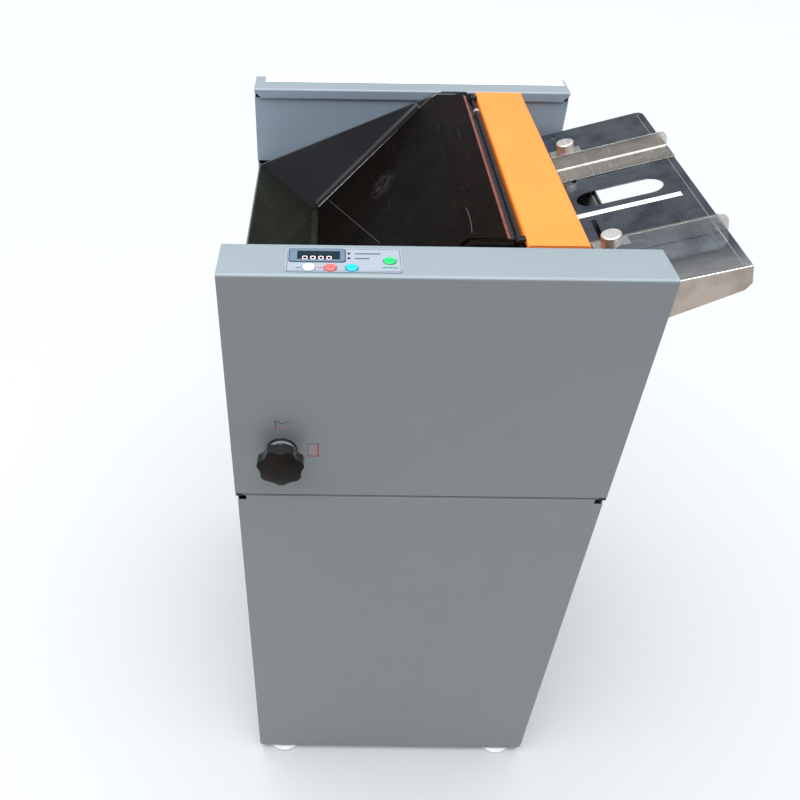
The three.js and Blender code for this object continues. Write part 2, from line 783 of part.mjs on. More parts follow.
function buildHump() {
  const sheet = prism("y", bentSheet(humpFace(0), HUMP.thickness, HUMP.crownBend), humpY);
  const underside = humpTop - HUMP.thickness + WELD;
  const lugEnds = inside(ledgeEnds, HUMP.lugInset);
  const lugs = [
    [lugEnds[0], lugEnds[0] + HUMP.lugWidth],
    [lugEnds[1] - HUMP.lugWidth, lugEnds[1]],
  ].map((y) =>
    block(
      [humpPin[0] - HUMP.lugReach, humpRight - HUMP.thickness + WELD],
      y,
      [humpPin[1] - HUMP.lugDrop, underside],
    ),
  );
  const bore = rod("y", humpPin, HUMP.pinRadius + RUNNING, humpY);
  place("hump_cover", cut(union(sheet, ...lugs), bore), SMOKED_ACRYLIC);
}

function buildGuard() {
  const [left, right] = guardX;
  const leftBottom = fromTop(GUARD.leftDrop);
  const rightBottom = fromTop(GUARD.rightDrop);
  const face = [
    [right, rightBottom],
    [right, CABINET.top],
    [left, CABINET.top],
    [left, leftBottom],
  ];
  const shell = prism("y", bentSheet(face, SHEET, GUARD.bend - SHEET), guardY);
  const end = [
    [left + WELD, leftBottom],
    [left + GUARD.endReach, rightBottom],
    [right - WELD, rightBottom],
    [right - WELD, CABINET.top - GUARD.bend],
    [right - GUARD.bend, CABINET.top - WELD],
    [left + GUARD.bend, CABINET.top - WELD],
    [left + WELD, CABINET.top - GUARD.bend],
  ];
  const ends = [
    [guardY[0], guardY[0] + SHEET],
    [guardY[1] - SHEET, guardY[1]],
  ].map((span) => prism("y", end, span));
  const ears = [
    [troughFront[1] + GUARD.earInset, troughFront[1] + GUARD.earInset + GUARD.earWidth],
    [troughRear[0] - GUARD.earInset - GUARD.earWidth, troughRear[0] - GUARD.earInset],
  ].map((span) =>
    union(
      rod("y", guardPin, GUARD.earRadius, span),
      block(
        [guardPin[0], left + SHEET / 2],
        span,
        [guardPin[1] - GUARD.earRadius, guardPin[1] + GUARD.earRadius],
      ),
    ),
  );
  const bore = rod("y", guardPin, GUARD.pinRadius + RUNNING, [0, CABINET.depth]);
  place("stitching_guard", cut(union(shell, ...ends, ...ears), bore), ORANGE_PAINT);
}

// Feed tray, its strip and its bracket
function buildTray() {
  const outline = [
    [TRAY.left, trayY[0]],
    [TRAY.right, trayY[0]],
    ...arc(
      [TRAY.right - TRAY.corner, trayY[1] - TRAY.corner],
      TRAY.corner,
      0,
      Math.PI / 2,
      2 * BEND_STEPS,
    ),
    [TRAY.left, trayY[1]],
  ];
  const handHole = rounded(
    [TRAY.holeLeft, TRAY.holeRight],
    [middleY - TRAY.holeFront, middleY + TRAY.holeRear],
    (TRAY.holeRear + TRAY.holeFront) / 2,
    2 * BEND_STEPS,
  );
  const half = TRAY.slotWidth / 2;
  const slotU = [TRAY.slotU - half, TRAY.slotU + half];
  const slots = [
    [trayY[0] + TRAY.slotInset, middleY - TRAY.slotInner],
    [middleY + TRAY.slotInner, trayY[1] - TRAY.slotInset],
  ].map((span) => rounded(slotU, span, half));
  const plate = prism("z", outline, [-TRAY.thickness, 0], [handHole, ...slots]);
  const flange = [
    [TRAY.flangeLeft, 0],
    [TRAY.flangeLeft, -TRAY.flangeLeftDrop],
    [TRAY.right - TRAY.flangeClip, -TRAY.flangeRightDrop],
    [TRAY.right, -TRAY.flangeRightDrop + TRAY.flangeClip],
    [TRAY.right, 0],
  ];
  const front = prism("y", flange, [trayY[0], trayY[0] + TRAY.thickness]);
  const stripY = [middleY - STRIP.front, middleY - STRIP.front + STRIP.width];
  const groove = block(
    [STRIP.left - GAP, STRIP.right + GAP],
    inside(stripY, -GAP),
    [-STRIP.depth, OVERRUN],
  );
  place("feed_tray", cut(union(plate, front), groove), STAINLESS, feedPlane);
  const strip = block(
    [STRIP.left, STRIP.right],
    stripY,
    [GAP - STRIP.depth, GAP - STRIP.depth + STRIP.thickness],
  );
  place("tray_strip", strip, WHITE_SATIN, feedPlane);

  const wallLeft = fromRight(CABINET.inset) + GAP;
  const wallX = [wallLeft, wallLeft + BRACKET.thickness];
  const tip = wallX[1] + BRACKET.reach;
  const bottom = fromTop(BRACKET.drop);
  const below = -TRAY.thickness - GAP;
  const ribY = [
    [BRACKET.front, BRACKET.front + BRACKET.rib],
    [mirrorY(BRACKET.front) - BRACKET.rib, mirrorY(BRACKET.front)],
  ];
  const rib = [
    [wallX[0], bottom],
    [wallX[1], bottom],
    [tip, feedHeight(tip, below) - BRACKET.tipDrop],
    [tip, feedHeight(tip, below)],
    [wallX[0], feedHeight(wallX[0], below)],
  ];
  const wall = block(
    wallX,
    [BRACKET.front, mirrorY(BRACKET.front)],
    [bottom, feedHeight(wallX[0], below)],
  );
  place("tray_bracket", union(wall, ...ribY.map((span) => prism("y", rib, span))), STEEL);
}

// A side guide is a bent angle with a tab that carries the clamping screw. Its section is
// drawn for side = 1, the rear guide, and mirrored for the front one.
function buildGuide(label, wallY, side) {
  const across = (distances) => distances.map((d) => wallY + side * d).sort((a, b) => a - b);
  const foot = block(
    [GUIDE.left, GUIDE.right],
    across([-GUIDE.foot, 0]),
    [GAP, GAP + SHEET],
  );
  const wallOutline = [
    [GUIDE.left, GAP],
    [GUIDE.right, GAP],
    ...arc(
      [GUIDE.right - GUIDE.corner, GUIDE.wall - GUIDE.corner],
      GUIDE.corner,
      0,
      Math.PI / 2,
      2 * BEND_STEPS,
    ),
    [GUIDE.left, GUIDE.wall],
  ];
  const wall = prism("y", wallOutline, across([-SHEET, 0]));
  const tab = block(
    [GUIDE.tabLeft, GUIDE.tabRight],
    across([-SHEET, GUIDE.tabReach]),
    [GUIDE.wall - SHEET, GUIDE.wall],
  );
  const [screwY] = across([GUIDE.screwReach]);
  const sleeve = rod("z", [TRAY.slotU, screwY], GUIDE.sleeve, [GAP, GUIDE.wall - SHEET / 2]);
  const bore = rod("z", [TRAY.slotU, screwY], SCREW.shank + RUNNING, [-OVERRUN, GUIDE.wall + OVERRUN]);
  place(`${label}_guide`, cut(union(foot, wall, tab, sleeve), bore), STAINLESS, feedPlane);

  const seat = GUIDE.wall + GAP;
  const nutTop = -TRAY.thickness - NUT.drop;
  const profile = [
    [0, nutTop - NUT.height - NUT.tail],
    [SCREW.shank, nutTop - NUT.height - NUT.tail],
    [SCREW.shank, seat],
    [SCREW.radius - SCREW.ring, seat],
    [SCREW.radius, seat + SCREW.ring],
    [SCREW.radius, seat + SCREW.height - SCREW.crown],
    [SCREW.radius - SCREW.crown, seat + SCREW.height],
    [0, seat + SCREW.height],
  ];
  const screw = turned("z", profile, [0, 0, 0]);
  place(`${label}_thumbscrew`, screw, STAINLESS, feedPlane).position.set(TRAY.slotU, screwY, 0);
  const nut = block(
    [TRAY.slotU - NUT.length / 2, TRAY.slotU + NUT.length / 2],
    [screwY - SCREW.nutWidth / 2, screwY + SCREW.nutWidth / 2],
    [nutTop - NUT.height, nutTop],
  );
  const thread = rod("z", [TRAY.slotU, screwY], SCREW.shank + RUNNING, [nutTop - NUT.height, nutTop]);
  place(`${label}_slot_nut`, cut(nut, thread), STEEL, feedPlane);
}

// Stitching station: the anvil beam with its two posts, and the beam with two heads
function buildStitching() {
  const rodY = [bay[0] + ROD.inset - PULLEY.inset, bay[1] - ROD.inset + PULLEY.inset];
  const anvilY = [sideFront[1] + GAP, sideRear[0] - GAP];
  const anvil = block([-ANVIL.half, ANVIL.half], anvilY, [-ANVIL.thickness, 0]);
  const posts = [
    [bay[0], bay[0] + POST.depth],
    [bay[1] - POST.depth, bay[1]],
  ];
  const grooves = [
    [posts[0][0] + POST.grooveSkin, posts[0][1] + OVERRUN],
    [posts[1][0] - OVERRUN, posts[1][1] - POST.grooveSkin],
  ];
  const tongue = [-BEAM.tongueLeft, BEAM.tongueRight];
  const bodies = posts.map((span) => block([-POST.left, POST.right], span, [-WELD, POST.height]));
  const slots = grooves.map((span) =>
    block([tongue[0] - GAP, tongue[1] + GAP], span, [POST.grooveFloor, POST.height + OVERRUN]),
  );
  const bores = rodY.map((y) => rod("z", [0, y], ANVIL.bore, [-ANVIL.thickness - OVERRUN, OVERRUN]));
  place("stitching_frame", cut(union(anvil, ...bodies), ...slots, ...bores), DARK_STEEL, feedPlane);

  const beam = block(
    [-BEAM.left, BEAM.right],
    [posts[0][1] + GAP, posts[1][0] - GAP],
    [BEAM.bottom, BEAM.top],
  );
  const key = block(tongue, [grooves[0][0] + GAP, grooves[1][1] - GAP], [BEAM.bottom, BEAM.top]);
  const rods = rodY.map((y) => rod("z", [0, y], ROD.radius, [ROD.bottom, BEAM.bottom + WELD]));
  place("head_beam", union(beam, key, ...rods), STEEL, feedPlane);

  for (const [label, side] of [
    ["front", -1],
    ["rear", 1],
  ]) {
    const y = middleY + (side * HEAD.spacing) / 2;
    const wide = (width) => [y - width / 2, y + width / 2];
    const casing = block([-HEAD.left, HEAD.right], wide(HEAD.width), [HEAD.bottom, BEAM.bottom - GAP]);
    const nose = block([-HEAD.nose, HEAD.nose], wide(HEAD.noseWidth), [HEAD.noseBottom, HEAD.bottom + WELD]);
    const magazine = block(
      [0, HEAD.magazineRight],
      wide(HEAD.magazineWidth),
      [HEAD.magazineBottom, HEAD.magazineTop],
    );
    place(`stitching_head_${label}`, union(casing, nose, magazine), BLACK_PLASTIC, feedPlane);
  }

  const ends = [CABINET.frontFlange + OVERRUN, CABINET.depth - CABINET.rearFlange + OVERRUN];
  const shaft = rod("y", [0, CAM.w], CAM.shaft, ends);
  const cams = [
    [bay[0] + CAM.inset - CAM.width / 2, bay[0] + CAM.inset + CAM.width / 2],
    [bay[1] - CAM.inset - CAM.width / 2, bay[1] - CAM.inset + CAM.width / 2],
  ].map((span) => rod("y", [0, CAM.w + CAM.throw], CAM.radius, span));
  place("cam_shaft", union(shaft, ...cams), STEEL, feedPlane);
}

// A gear outline with straight-flanked teeth, one tooth turned to the given share of a pitch
function gearOutline([a, b], teeth, module, phaseShare) {
  const pitch = (2 * Math.PI) / teeth;
  const radius = (teeth * module) / 2;
  const root = radius - GEAR.dedendum;
  const tip = radius + GEAR.addendum;
  const cornerShares = [
    [root, -0.28],
    [tip, -0.1],
    [tip, 0.1],
    [root, 0.28],
  ];
  const points = [];
  for (let tooth = 0; tooth < teeth; tooth += 1)
    for (const [reach, share] of cornerShares) {
      const angle = (tooth + phaseShare + share) * pitch;
      points.push([a + reach * Math.cos(angle), b + reach * Math.sin(angle)]);
    }
  return points;
}

// A belt round two pulleys: the arcs of both joined by straight runs
function beltLoop([a1, b1], radius1, [a2, b2], radius2) {
  const heading = Math.atan2(b2 - b1, a2 - a1);
  const spread = Math.acos((radius1 - radius2) / Math.hypot(a2 - a1, b2 - b1));
  return [
    ...arc([a2, b2], radius2, heading - spread, heading + spread, ROUND_SIDES / 2),
    ...arc([a1, b1], radius1, heading + spread, heading - spread + 2 * Math.PI, ROUND_SIDES / 2),
  ];
}

// Fold station: inner table with knife posts, knife, rollers, stop and drive
function buildFolding() {
  const tableU = [tableLeft, -ANVIL.half - GAP - GAP];
  const slot = rectangle(
    [FOLD.u - FOLD.slotHalf, FOLD.u + FOLD.slotHalf],
    inside(bay, FOLD.slotInset),
  );
  const table = prism("z", rectangle(tableU, bay), [-FOLD.table, 0], [slot]);
  const postSpans = [
    [bay[0], bay[0] + KNIFE.postDepth],
    [bay[1] - KNIFE.postDepth, bay[1]],
  ];
  const grooveSpans = [
    [postSpans[0][0] + POST.grooveSkin, postSpans[0][1] + OVERRUN],
    [postSpans[1][0] - OVERRUN, postSpans[1][1] - POST.grooveSkin],
  ];
  const posts = postSpans.map((span) =>
    block([FOLD.u - KNIFE.post, FOLD.u + KNIFE.post], span, [-WELD, KNIFE.postHeight]),
  );
  const grooves = grooveSpans.map((span) =>
    block(
      [FOLD.u - KNIFE.bar - GAP, FOLD.u + KNIFE.bar + GAP],
      span,
      [KNIFE.grooveFloor, KNIFE.postHeight + OVERRUN],
    ),
  );
  place("inner_table", cut(union(table, ...posts), ...grooves), STEEL, feedPlane);

  const bar = block(
    [FOLD.u - KNIFE.bar, FOLD.u + KNIFE.bar],
    [grooveSpans[0][0] + GAP, grooveSpans[1][1] - GAP],
    [KNIFE.barBottom, KNIFE.barTop],
  );
  const blade = block(
    [FOLD.u - KNIFE.blade / 2, FOLD.u + KNIFE.blade / 2],
    inside(bay, FOLD.slotInset + GAP),
    [KNIFE.bladeBottom, KNIFE.barBottom + WELD],
  );
  place("fold_knife", union(bar, blade), STEEL, feedPlane);

  const stopU = tableLeft + STOP.reach;
  const stop = union(
    block([stopU - STOP.thickness, stopU], inside(bay, STOP.inset), [GAP, STOP.height]),
    block([stopU - STOP.foot, stopU], inside(bay, STOP.inset), [GAP, STOP.footThickness]),
  );
  place("paper_stop", stop, BLACK_PLASTIC, feedPlane);

  const journals = [CABINET.frontFlange + OVERRUN, CABINET.depth - CABINET.rearFlange + OVERRUN];
  const drum = inside(bay, ROLLER.inset + GAP);
  const gearSpan = [drum[1] + GAP, drum[1] + GEAR.width];
  for (const [label, side] of [
    ["left", -1],
    ["right", 1],
  ]) {
    const centre = [rollerU(side), ROLLER.w];
    const phaseShare = side < 0 ? 0 : 0.5;
    const roller = union(
      rod("y", centre, ROLLER.radius, drum),
      rod("y", centre, ROLLER.journal, journals),
      prism("y", gearOutline(centre, GEAR.teeth, gearModule, phaseShare), gearSpan),
    );
    place(`fold_roller_${label}`, roller, side < 0 ? RUBBER : BLACK_PLASTIC, feedPlane);
  }

  const driveSpan = [bay[0] + GAP, bay[0] + GAP + PULLEY.width];
  const driven = [rollerU(-1), ROLLER.w];
  const driver = [rollerU(-1), PULLEY.motorW];
  const pulley = prism("y", circle(driven, PULLEY.radius), driveSpan, [
    circle(driven, ROLLER.journal + GAP),
  ]);
  place("drive_pulley", pulley, STEEL, feedPlane);
  const shaftEnd = driveSpan[1] + GAP + MOTOR.flangeThickness + MOTOR.shaftDepth;
  const motorPulley = union(
    rod("y", driver, PULLEY.motorRadius, driveSpan),
    rod("y", driver, MOTOR.shaft, [driveSpan[0], shaftEnd]),
  );
  place("motor_pulley", motorPulley, STEEL, feedPlane);
  const loop = (extra) => beltLoop(driver, PULLEY.motorRadius + extra, driven, PULLEY.radius + extra);
  const belt = prism("y", loop(GAP + BELT.thickness), driveSpan, [loop(GAP)]);
  place("drive_belt", belt, RUBBER, feedPlane);

  const [u, w] = driver;
  const flangeFront = driveSpan[1] + GAP + GAP;
  const flange = block(
    [u - MOTOR.flange, u + MOTOR.flange],
    [flangeFront, flangeFront + MOTOR.flangeThickness],
    [w - MOTOR.flange, w + MOTOR.flange],
  );
  const can = rod("y", driver, MOTOR.radius, [flangeFront, flangeFront + MOTOR.length]);
  const reach = MOTOR.flange - MOTOR.standoffInset;
  const standoffs = [
    [-1, -1],
    [-1, 1],
    [1, -1],
    [1, 1],
  ].map(([a, b]) =>
    rod("y", [u + a * reach, w + b * reach], MOTOR.standoff, [sideFront[1] + GAP, flangeFront + WELD]),
  );
  const bore = rod("y", driver, MOTOR.shaft + RUNNING, [flangeFront - OVERRUN, shaftEnd + GAP]);
  place("drive_motor", cut(union(flange, can, ...standoffs), bore), DARK_STEEL, feedPlane);
}

// Controls: label, display, lamps, buttons and the board under them
function buildControls() {
  const levels = [labelBottom, labelTop];
  const holes = [
    ...BUTTONS.map(({ x, y }) => circle([x, y], BUTTON.radius + RUNNING)),
    ...LAMPS.map(({ x, y }) => circle([x, y], LAMP.radius + RUNNING, ROUND_SIDES / 2)),
    rectangle([LABEL.windowLeft, LABEL.windowRight], [LABEL.windowFront, LABEL.windowRear]),
  ];
  const outline = rounded([LABEL.left, LABEL.right], [LABEL.front, LABEL.rear], LABEL.corner);
  place("control_label", prism("z", outline, levels, holes), LABEL_FILM);

  const bezelOutline = rounded([BEZEL.left, BEZEL.right], [BEZEL.front, BEZEL.rear], BEZEL.corner);
  const opening = rectangle([LABEL.windowLeft, LABEL.windowRight], [LABEL.windowFront, LABEL.windowRear]);
  const bezelSpan = [labelTop + GAP, labelTop + GAP + BEZEL.thickness];
  place("display_bezel", prism("z", bezelOutline, bezelSpan, [opening]), BEZEL_BLUE);
  const window = block(
    inside([LABEL.windowLeft, LABEL.windowRight], GAP),
    inside([LABEL.windowFront, LABEL.windowRear], GAP),
    [labelTop + GAP - WINDOW.depth, labelTop + GAP],
  );
  place("display_window", window, DISPLAY_GLASS);

  const collarTop = flangeUnderside - GAP;
  const collarBottom = collarTop - BUTTON.collarThickness;
  const stemBottom = boardTop + BOARD.switchHeight + BUTTON.switchGap;
  for (const { name, x, y, colour } of BUTTONS) {
    const profile = [
      [0, stemBottom],
      [BUTTON.stem, stemBottom],
      [BUTTON.stem, collarBottom],
      [BUTTON.collar, collarBottom],
      [BUTTON.collar, collarTop],
      [BUTTON.radius, collarTop],
      [BUTTON.radius, labelTop + BUTTON.rise - BUTTON.dome],
      [BUTTON.radius - BUTTON.dome, labelTop + BUTTON.rise],
      [0, labelTop + BUTTON.rise],
    ];
    place(name, turned("z", profile, [0, 0, 0]), finish(colour, 0.35, 0)).position.set(x, y, 0);
  }
  for (const { name, x, y } of LAMPS) {
    const lamp = rod("z", [0, 0], LAMP.radius, [boardTop + GAP, labelTop + LAMP.rise], ROUND_SIDES / 2);
    place(name, lamp, BLACK_PLASTIC).position.set(x, y, 0);
  }

  const boardX = inside([LABEL.left, LABEL.right], BOARD.inset);
  const boardY = [BOARD.front, BOARD.rear];
  const board = block(boardX, boardY, [boardTop - BOARD.thickness, boardTop]);
  const corners = [boardX[0] + BOARD.inset, boardX[1] - BOARD.inset].flatMap((x) =>
    [boardY[0] + BOARD.inset, boardY[1] - BOARD.inset].map((y) => [x, y]),
  );
  const posts = corners.map((centre) =>
    rod("z", centre, BOARD.post, [boardTop - WELD, flangeUnderside - GAP], ROUND_SIDES / 4),
  );
  const switches = BUTTONS.map(({ x, y }) =>
    block(
      [x - BOARD.switchHalf, x + BOARD.switchHalf],
      [y - BOARD.switchHalf, y + BOARD.switchHalf],
      [boardTop - WELD, boardTop + BOARD.switchHeight],
    ),
  );
  place("control_board", union(board, ...posts, ...switches), BOARD_GREEN);
}

// Mode selector: knob, shaft and the switch behind the panel
function knobOutline() {
  const middle = (KNOB.lobe + KNOB.valley) / 2;
  const swing = (KNOB.lobe - KNOB.valley) / 2;
  const steps = KNOB.lobes * (ROUND_SIDES / 2);
  const points = [];
  for (let i = 0; i < steps; i += 1) {
    const angle = (2 * Math.PI * i) / steps;
    const wave = Math.cos(KNOB.lobes * (angle - Math.PI / 2));
    const radius = middle + (swing * Math.tanh(KNOB.flatnessShare * wave)) / Math.tanh(KNOB.flatnessShare);
    points.push([radius * Math.cos(angle), radius * Math.sin(angle)]);
  }
  return points;
}

function buildSelector() {
  const domeHeight = KNOB.tip - KNOB.rim;
  const domeRadius = (KNOB.lobe ** 2 + domeHeight ** 2) / (2 * domeHeight);
  const reach = Math.asin(KNOB.lobe / domeRadius);
  const dome = [[0, KNOB.back]];
  for (let i = 2 * BEND_STEPS; i >= 0; i -= 1) {
    const angle = (reach * i) / (2 * BEND_STEPS);
    const radius = domeRadius * Math.sin(angle);
    if (i === 2 * BEND_STEPS) dome.push([radius, KNOB.back]);
    dome.push([i ? radius : 0, KNOB.tip - domeRadius * (1 - Math.cos(angle))]);
  }
  const star = prism("y", knobOutline(), [-KNOB.tip - OVERRUN, -KNOB.back]);
  const cap = star.intersect(turned("y", dome, [0, 0, 0], 2 * ROUND_SIDES));
  const hub = rod("y", [0, 0], KNOB.hub, [-KNOB.back - WELD, -KNOB.hubBack]);
  const bore = rod("y", [0, 0], KNOB.bore, [-KNOB.boreDepth - GAP, 0]);
  const knob = place("mode_knob", cut(union(cap, hub), bore), BAKELITE);
  const shaft = rod("y", [0, 0], SELECTOR.shaft, [-KNOB.boreDepth, SELECTOR.shaftEnd]);
  const spindle = place("mode_shaft", shaft, STEEL);
  const half = SELECTOR.box / 2;
  const disc = rod("y", [0, 0], SELECTOR.disc, [-SELECTOR.proud, SHEET + GAP + WELD]);
  const box = block([-half, half], [SHEET + GAP, SHEET + GAP + SELECTOR.boxDepth], [-half, half]);
  const well = rod("y", [0, 0], SELECTOR.shaft + RUNNING, [-OVERRUN, SELECTOR.shaftEnd + GAP]);
  const body = place("mode_switch", cut(union(disc, box), well), LIGHT_PLASTIC);
  for (const mesh of [knob, spindle, body]) mesh.position.set(KNOB.x, 0, CABINET.seam + KNOB.rise);
}

// Control box and mains inlet, low at the back
function buildSupply() {
  const rear = sideRear[0] - CONTROL_BOX.rearGap;
  const box = block(
    [CONTROL_BOX.left, CONTROL_BOX.left + CONTROL_BOX.width],
    [rear - CONTROL_BOX.depth, rear],
    [baseTop + GAP, baseTop + GAP + CONTROL_BOX.height],
  );
  place("control_box", box, DARK_STEEL);
  const x = [INLET.x - INLET.width / 2, INLET.x + INLET.width / 2];
  const z = [INLET.z - INLET.height / 2, INLET.z + INLET.height / 2];
  const face = CABINET.depth + GAP + INLET.flangeThickness;
  const body = block(x, [face - INLET.depth, face], z);
  const flange = block(
    [x[0] - INLET.flangeLap, x[1] + INLET.flangeLap],
    [CABINET.depth + GAP, face],
    [z[0] - INLET.flangeLap, z[1] + INLET.flangeLap],
  );
  const socket = block(
    [INLET.x - INLET.socketWidth / 2, INLET.x + INLET.socketWidth / 2],
    [face - INLET.socketDepth, face + OVERRUN],
    [INLET.z - INLET.socketHeight / 2, INLET.z + INLET.socketHeight / 2],
  );
  place("mains_inlet", cut(union(body, flange), socket), BLACK_PLASTIC);
}

buildBase();
buildEndPanels();
buildLowerPanels();
buildFrontCover();
buildRearCover();
buildSidePlates();
buildTroughPlates();
buildReceiver();
buildHump();
buildGuard();
buildTray();
buildGuide("rear", middleY + GUIDE.rearWall, 1);
buildGuide("front", middleY - GUIDE.frontWall, -1);
buildStitching();
buildFolding();
buildControls();
buildSelector();
buildSupply();

// Stand the machine on the floor with the middle of its footprint at the origin
const saddleStitcher = new THREE.Group();
saddleStitcher.add(machine);
saddleStitcher.updateMatrixWorld(true);
const bounds = new THREE.Box3().setFromObject(machine, true);
const middle = bounds.getCenter(new THREE.Vector3());
machine.position.set(-middle.x, -middle.y, -bounds.min.z);

export default saddleStitcher;
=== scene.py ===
"""Dresses the saddle stitching machine: finishes, fasteners, controls and a plain studio."""

import json
import logging
import math
from collections.abc import Callable, Iterable, Sequence
from dataclasses import dataclass
from enum import Enum

import bmesh
import bpy
from mathutils import Matrix, Vector

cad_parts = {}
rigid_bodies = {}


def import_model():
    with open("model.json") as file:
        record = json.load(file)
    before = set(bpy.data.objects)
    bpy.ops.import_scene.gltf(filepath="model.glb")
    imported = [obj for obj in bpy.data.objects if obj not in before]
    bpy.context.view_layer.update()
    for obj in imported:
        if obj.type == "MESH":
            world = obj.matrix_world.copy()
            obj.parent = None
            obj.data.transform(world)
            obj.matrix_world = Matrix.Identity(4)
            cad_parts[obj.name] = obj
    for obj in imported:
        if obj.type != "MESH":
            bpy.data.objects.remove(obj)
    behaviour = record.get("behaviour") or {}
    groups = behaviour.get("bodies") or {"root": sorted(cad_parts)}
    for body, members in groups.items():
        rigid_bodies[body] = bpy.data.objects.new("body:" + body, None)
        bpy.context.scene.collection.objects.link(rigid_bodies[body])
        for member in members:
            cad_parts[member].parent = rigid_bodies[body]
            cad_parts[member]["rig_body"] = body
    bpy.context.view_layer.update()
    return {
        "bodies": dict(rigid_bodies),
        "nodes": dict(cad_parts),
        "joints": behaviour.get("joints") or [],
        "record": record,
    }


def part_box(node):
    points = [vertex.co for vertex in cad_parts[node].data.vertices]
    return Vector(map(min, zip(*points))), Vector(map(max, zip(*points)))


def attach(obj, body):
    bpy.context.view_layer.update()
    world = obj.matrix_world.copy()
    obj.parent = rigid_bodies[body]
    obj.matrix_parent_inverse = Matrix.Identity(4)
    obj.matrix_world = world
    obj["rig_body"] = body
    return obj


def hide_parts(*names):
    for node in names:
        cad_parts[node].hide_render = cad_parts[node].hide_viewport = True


MM = 0.001
MILLIMETRES = Matrix.Scale(MM, 4)
# Default width of eased edges, thickness of printed marks and how deep their foot lies, in millimetres.
EASE = 0.35
INK = 0.06
SUNK = 0.02
SMOOTH_ANGLE = math.radians(35)
BEVEL_ANGLE = math.radians(40)
FLAT_ANGLE = math.radians(1)
WELD_DISTANCE = 0.002 * MM
OUTLINE_WELD = 1e-5
# Cosines past which a face looks along a direction or squarely along it.
TOWARD = 0.6
SQUARE = 0.9

Point = tuple[float, float]
Colour = tuple[float, ...]
Settings = dict[str, object]
Inputs = dict[str | int, object]
log = logging.getLogger("saddle_stitcher")


class Body(Enum):
    """The bodies that carry pieces made here."""

    CABINET = "cabinet"
    HUMP = "hump"
    REAR_GUIDE = "rear_guide"
    FRONT_GUIDE = "front_guide"
    REAR_SCREW = "rear_screw"
    FRONT_SCREW = "front_screw"


def tone(red: float, green: float, blue: float) -> Colour:
    """Turns a colour as seen on a screen into a linear one.

    Args:
        red: Red from 0 to 255.
        green: Green from 0 to 255.
        blue: Blue from 0 to 255.

    Returns:
        The linear colour with full alpha.
    """
    seen = (value / 255 for value in (red, green, blue))
    linear = [v / 12.92 if v <= 0.04045 else ((v + 0.055) / 1.055) ** 2.4 for v in seen]
    return (*linear, 1.0)


def scaled(colour: Colour, share: float) -> Colour:
    """Darkens or brightens a colour by a share."""
    return (*(part * share for part in colour[:3]), 1.0)


def plant(
    tree: bpy.types.NodeTree, kind: str, settings: Settings | None = None, inputs: Inputs | None = None
) -> bpy.types.Node:
    """Adds a node to a tree.

    Args:
        tree: The shader or geometry tree.
        kind: The node's type.
        settings: Its properties, set first.
        inputs: Values, sockets or wires for its inputs, by name or index.

    Returns:
        The node.
    """
    node = tree.nodes.new(kind)
    for key, value in (settings or {}).items():
        setattr(node, key, value)
    for key, value in (inputs or {}).items():
        source = value.socket if isinstance(value, Wire) else value
        if isinstance(source, bpy.types.NodeSocket):
            tree.links.new(source, node.inputs[key])
        else:
            node.inputs[key].default_value = source
    return node


class Wire:
    """A shader socket that can be worked with like a number."""

    def __init__(self, shader: "Shader", socket: bpy.types.NodeSocket) -> None:
        """Keeps the socket and the shader that it belongs to."""
        self.shader = shader
        self.socket = socket

    def _with(self, operation: str, *values: "Wire | float") -> "Wire":
        """Adds one Math node with its inputs in order."""
        return self.shader.wire("ShaderNodeMath", {"operation": operation}, dict(enumerate(values)))

    def __add__(self, other: "Wire | float") -> "Wire":
        """Adds a number or socket."""
        return self._with("ADD", self, other)

    __radd__ = __add__

    def __sub__(self, other: "Wire | float") -> "Wire":
        """Takes a number or socket away."""
        return self._with("SUBTRACT", self, other)

    def __rsub__(self, other: "Wire | float") -> "Wire":
        """Is taken away from a number."""
        return self._with("SUBTRACT", other, self)

    def __mul__(self, other: "Wire | float") -> "Wire":
        """Multiplies with a number or socket."""
        return self._with("MULTIPLY", self, other)

    __rmul__ = __mul__

    def __abs__(self) -> "Wire":
        """Loses its sign."""
        return self._with("ABSOLUTE", self)

    def over(self, edge: float, soft: float) -> "Wire":
        """Rises from 0 to 1 round an edge, within a soft half width."""
        return self.shader.ramp(self, (edge - soft, edge + soft), (0, 1))


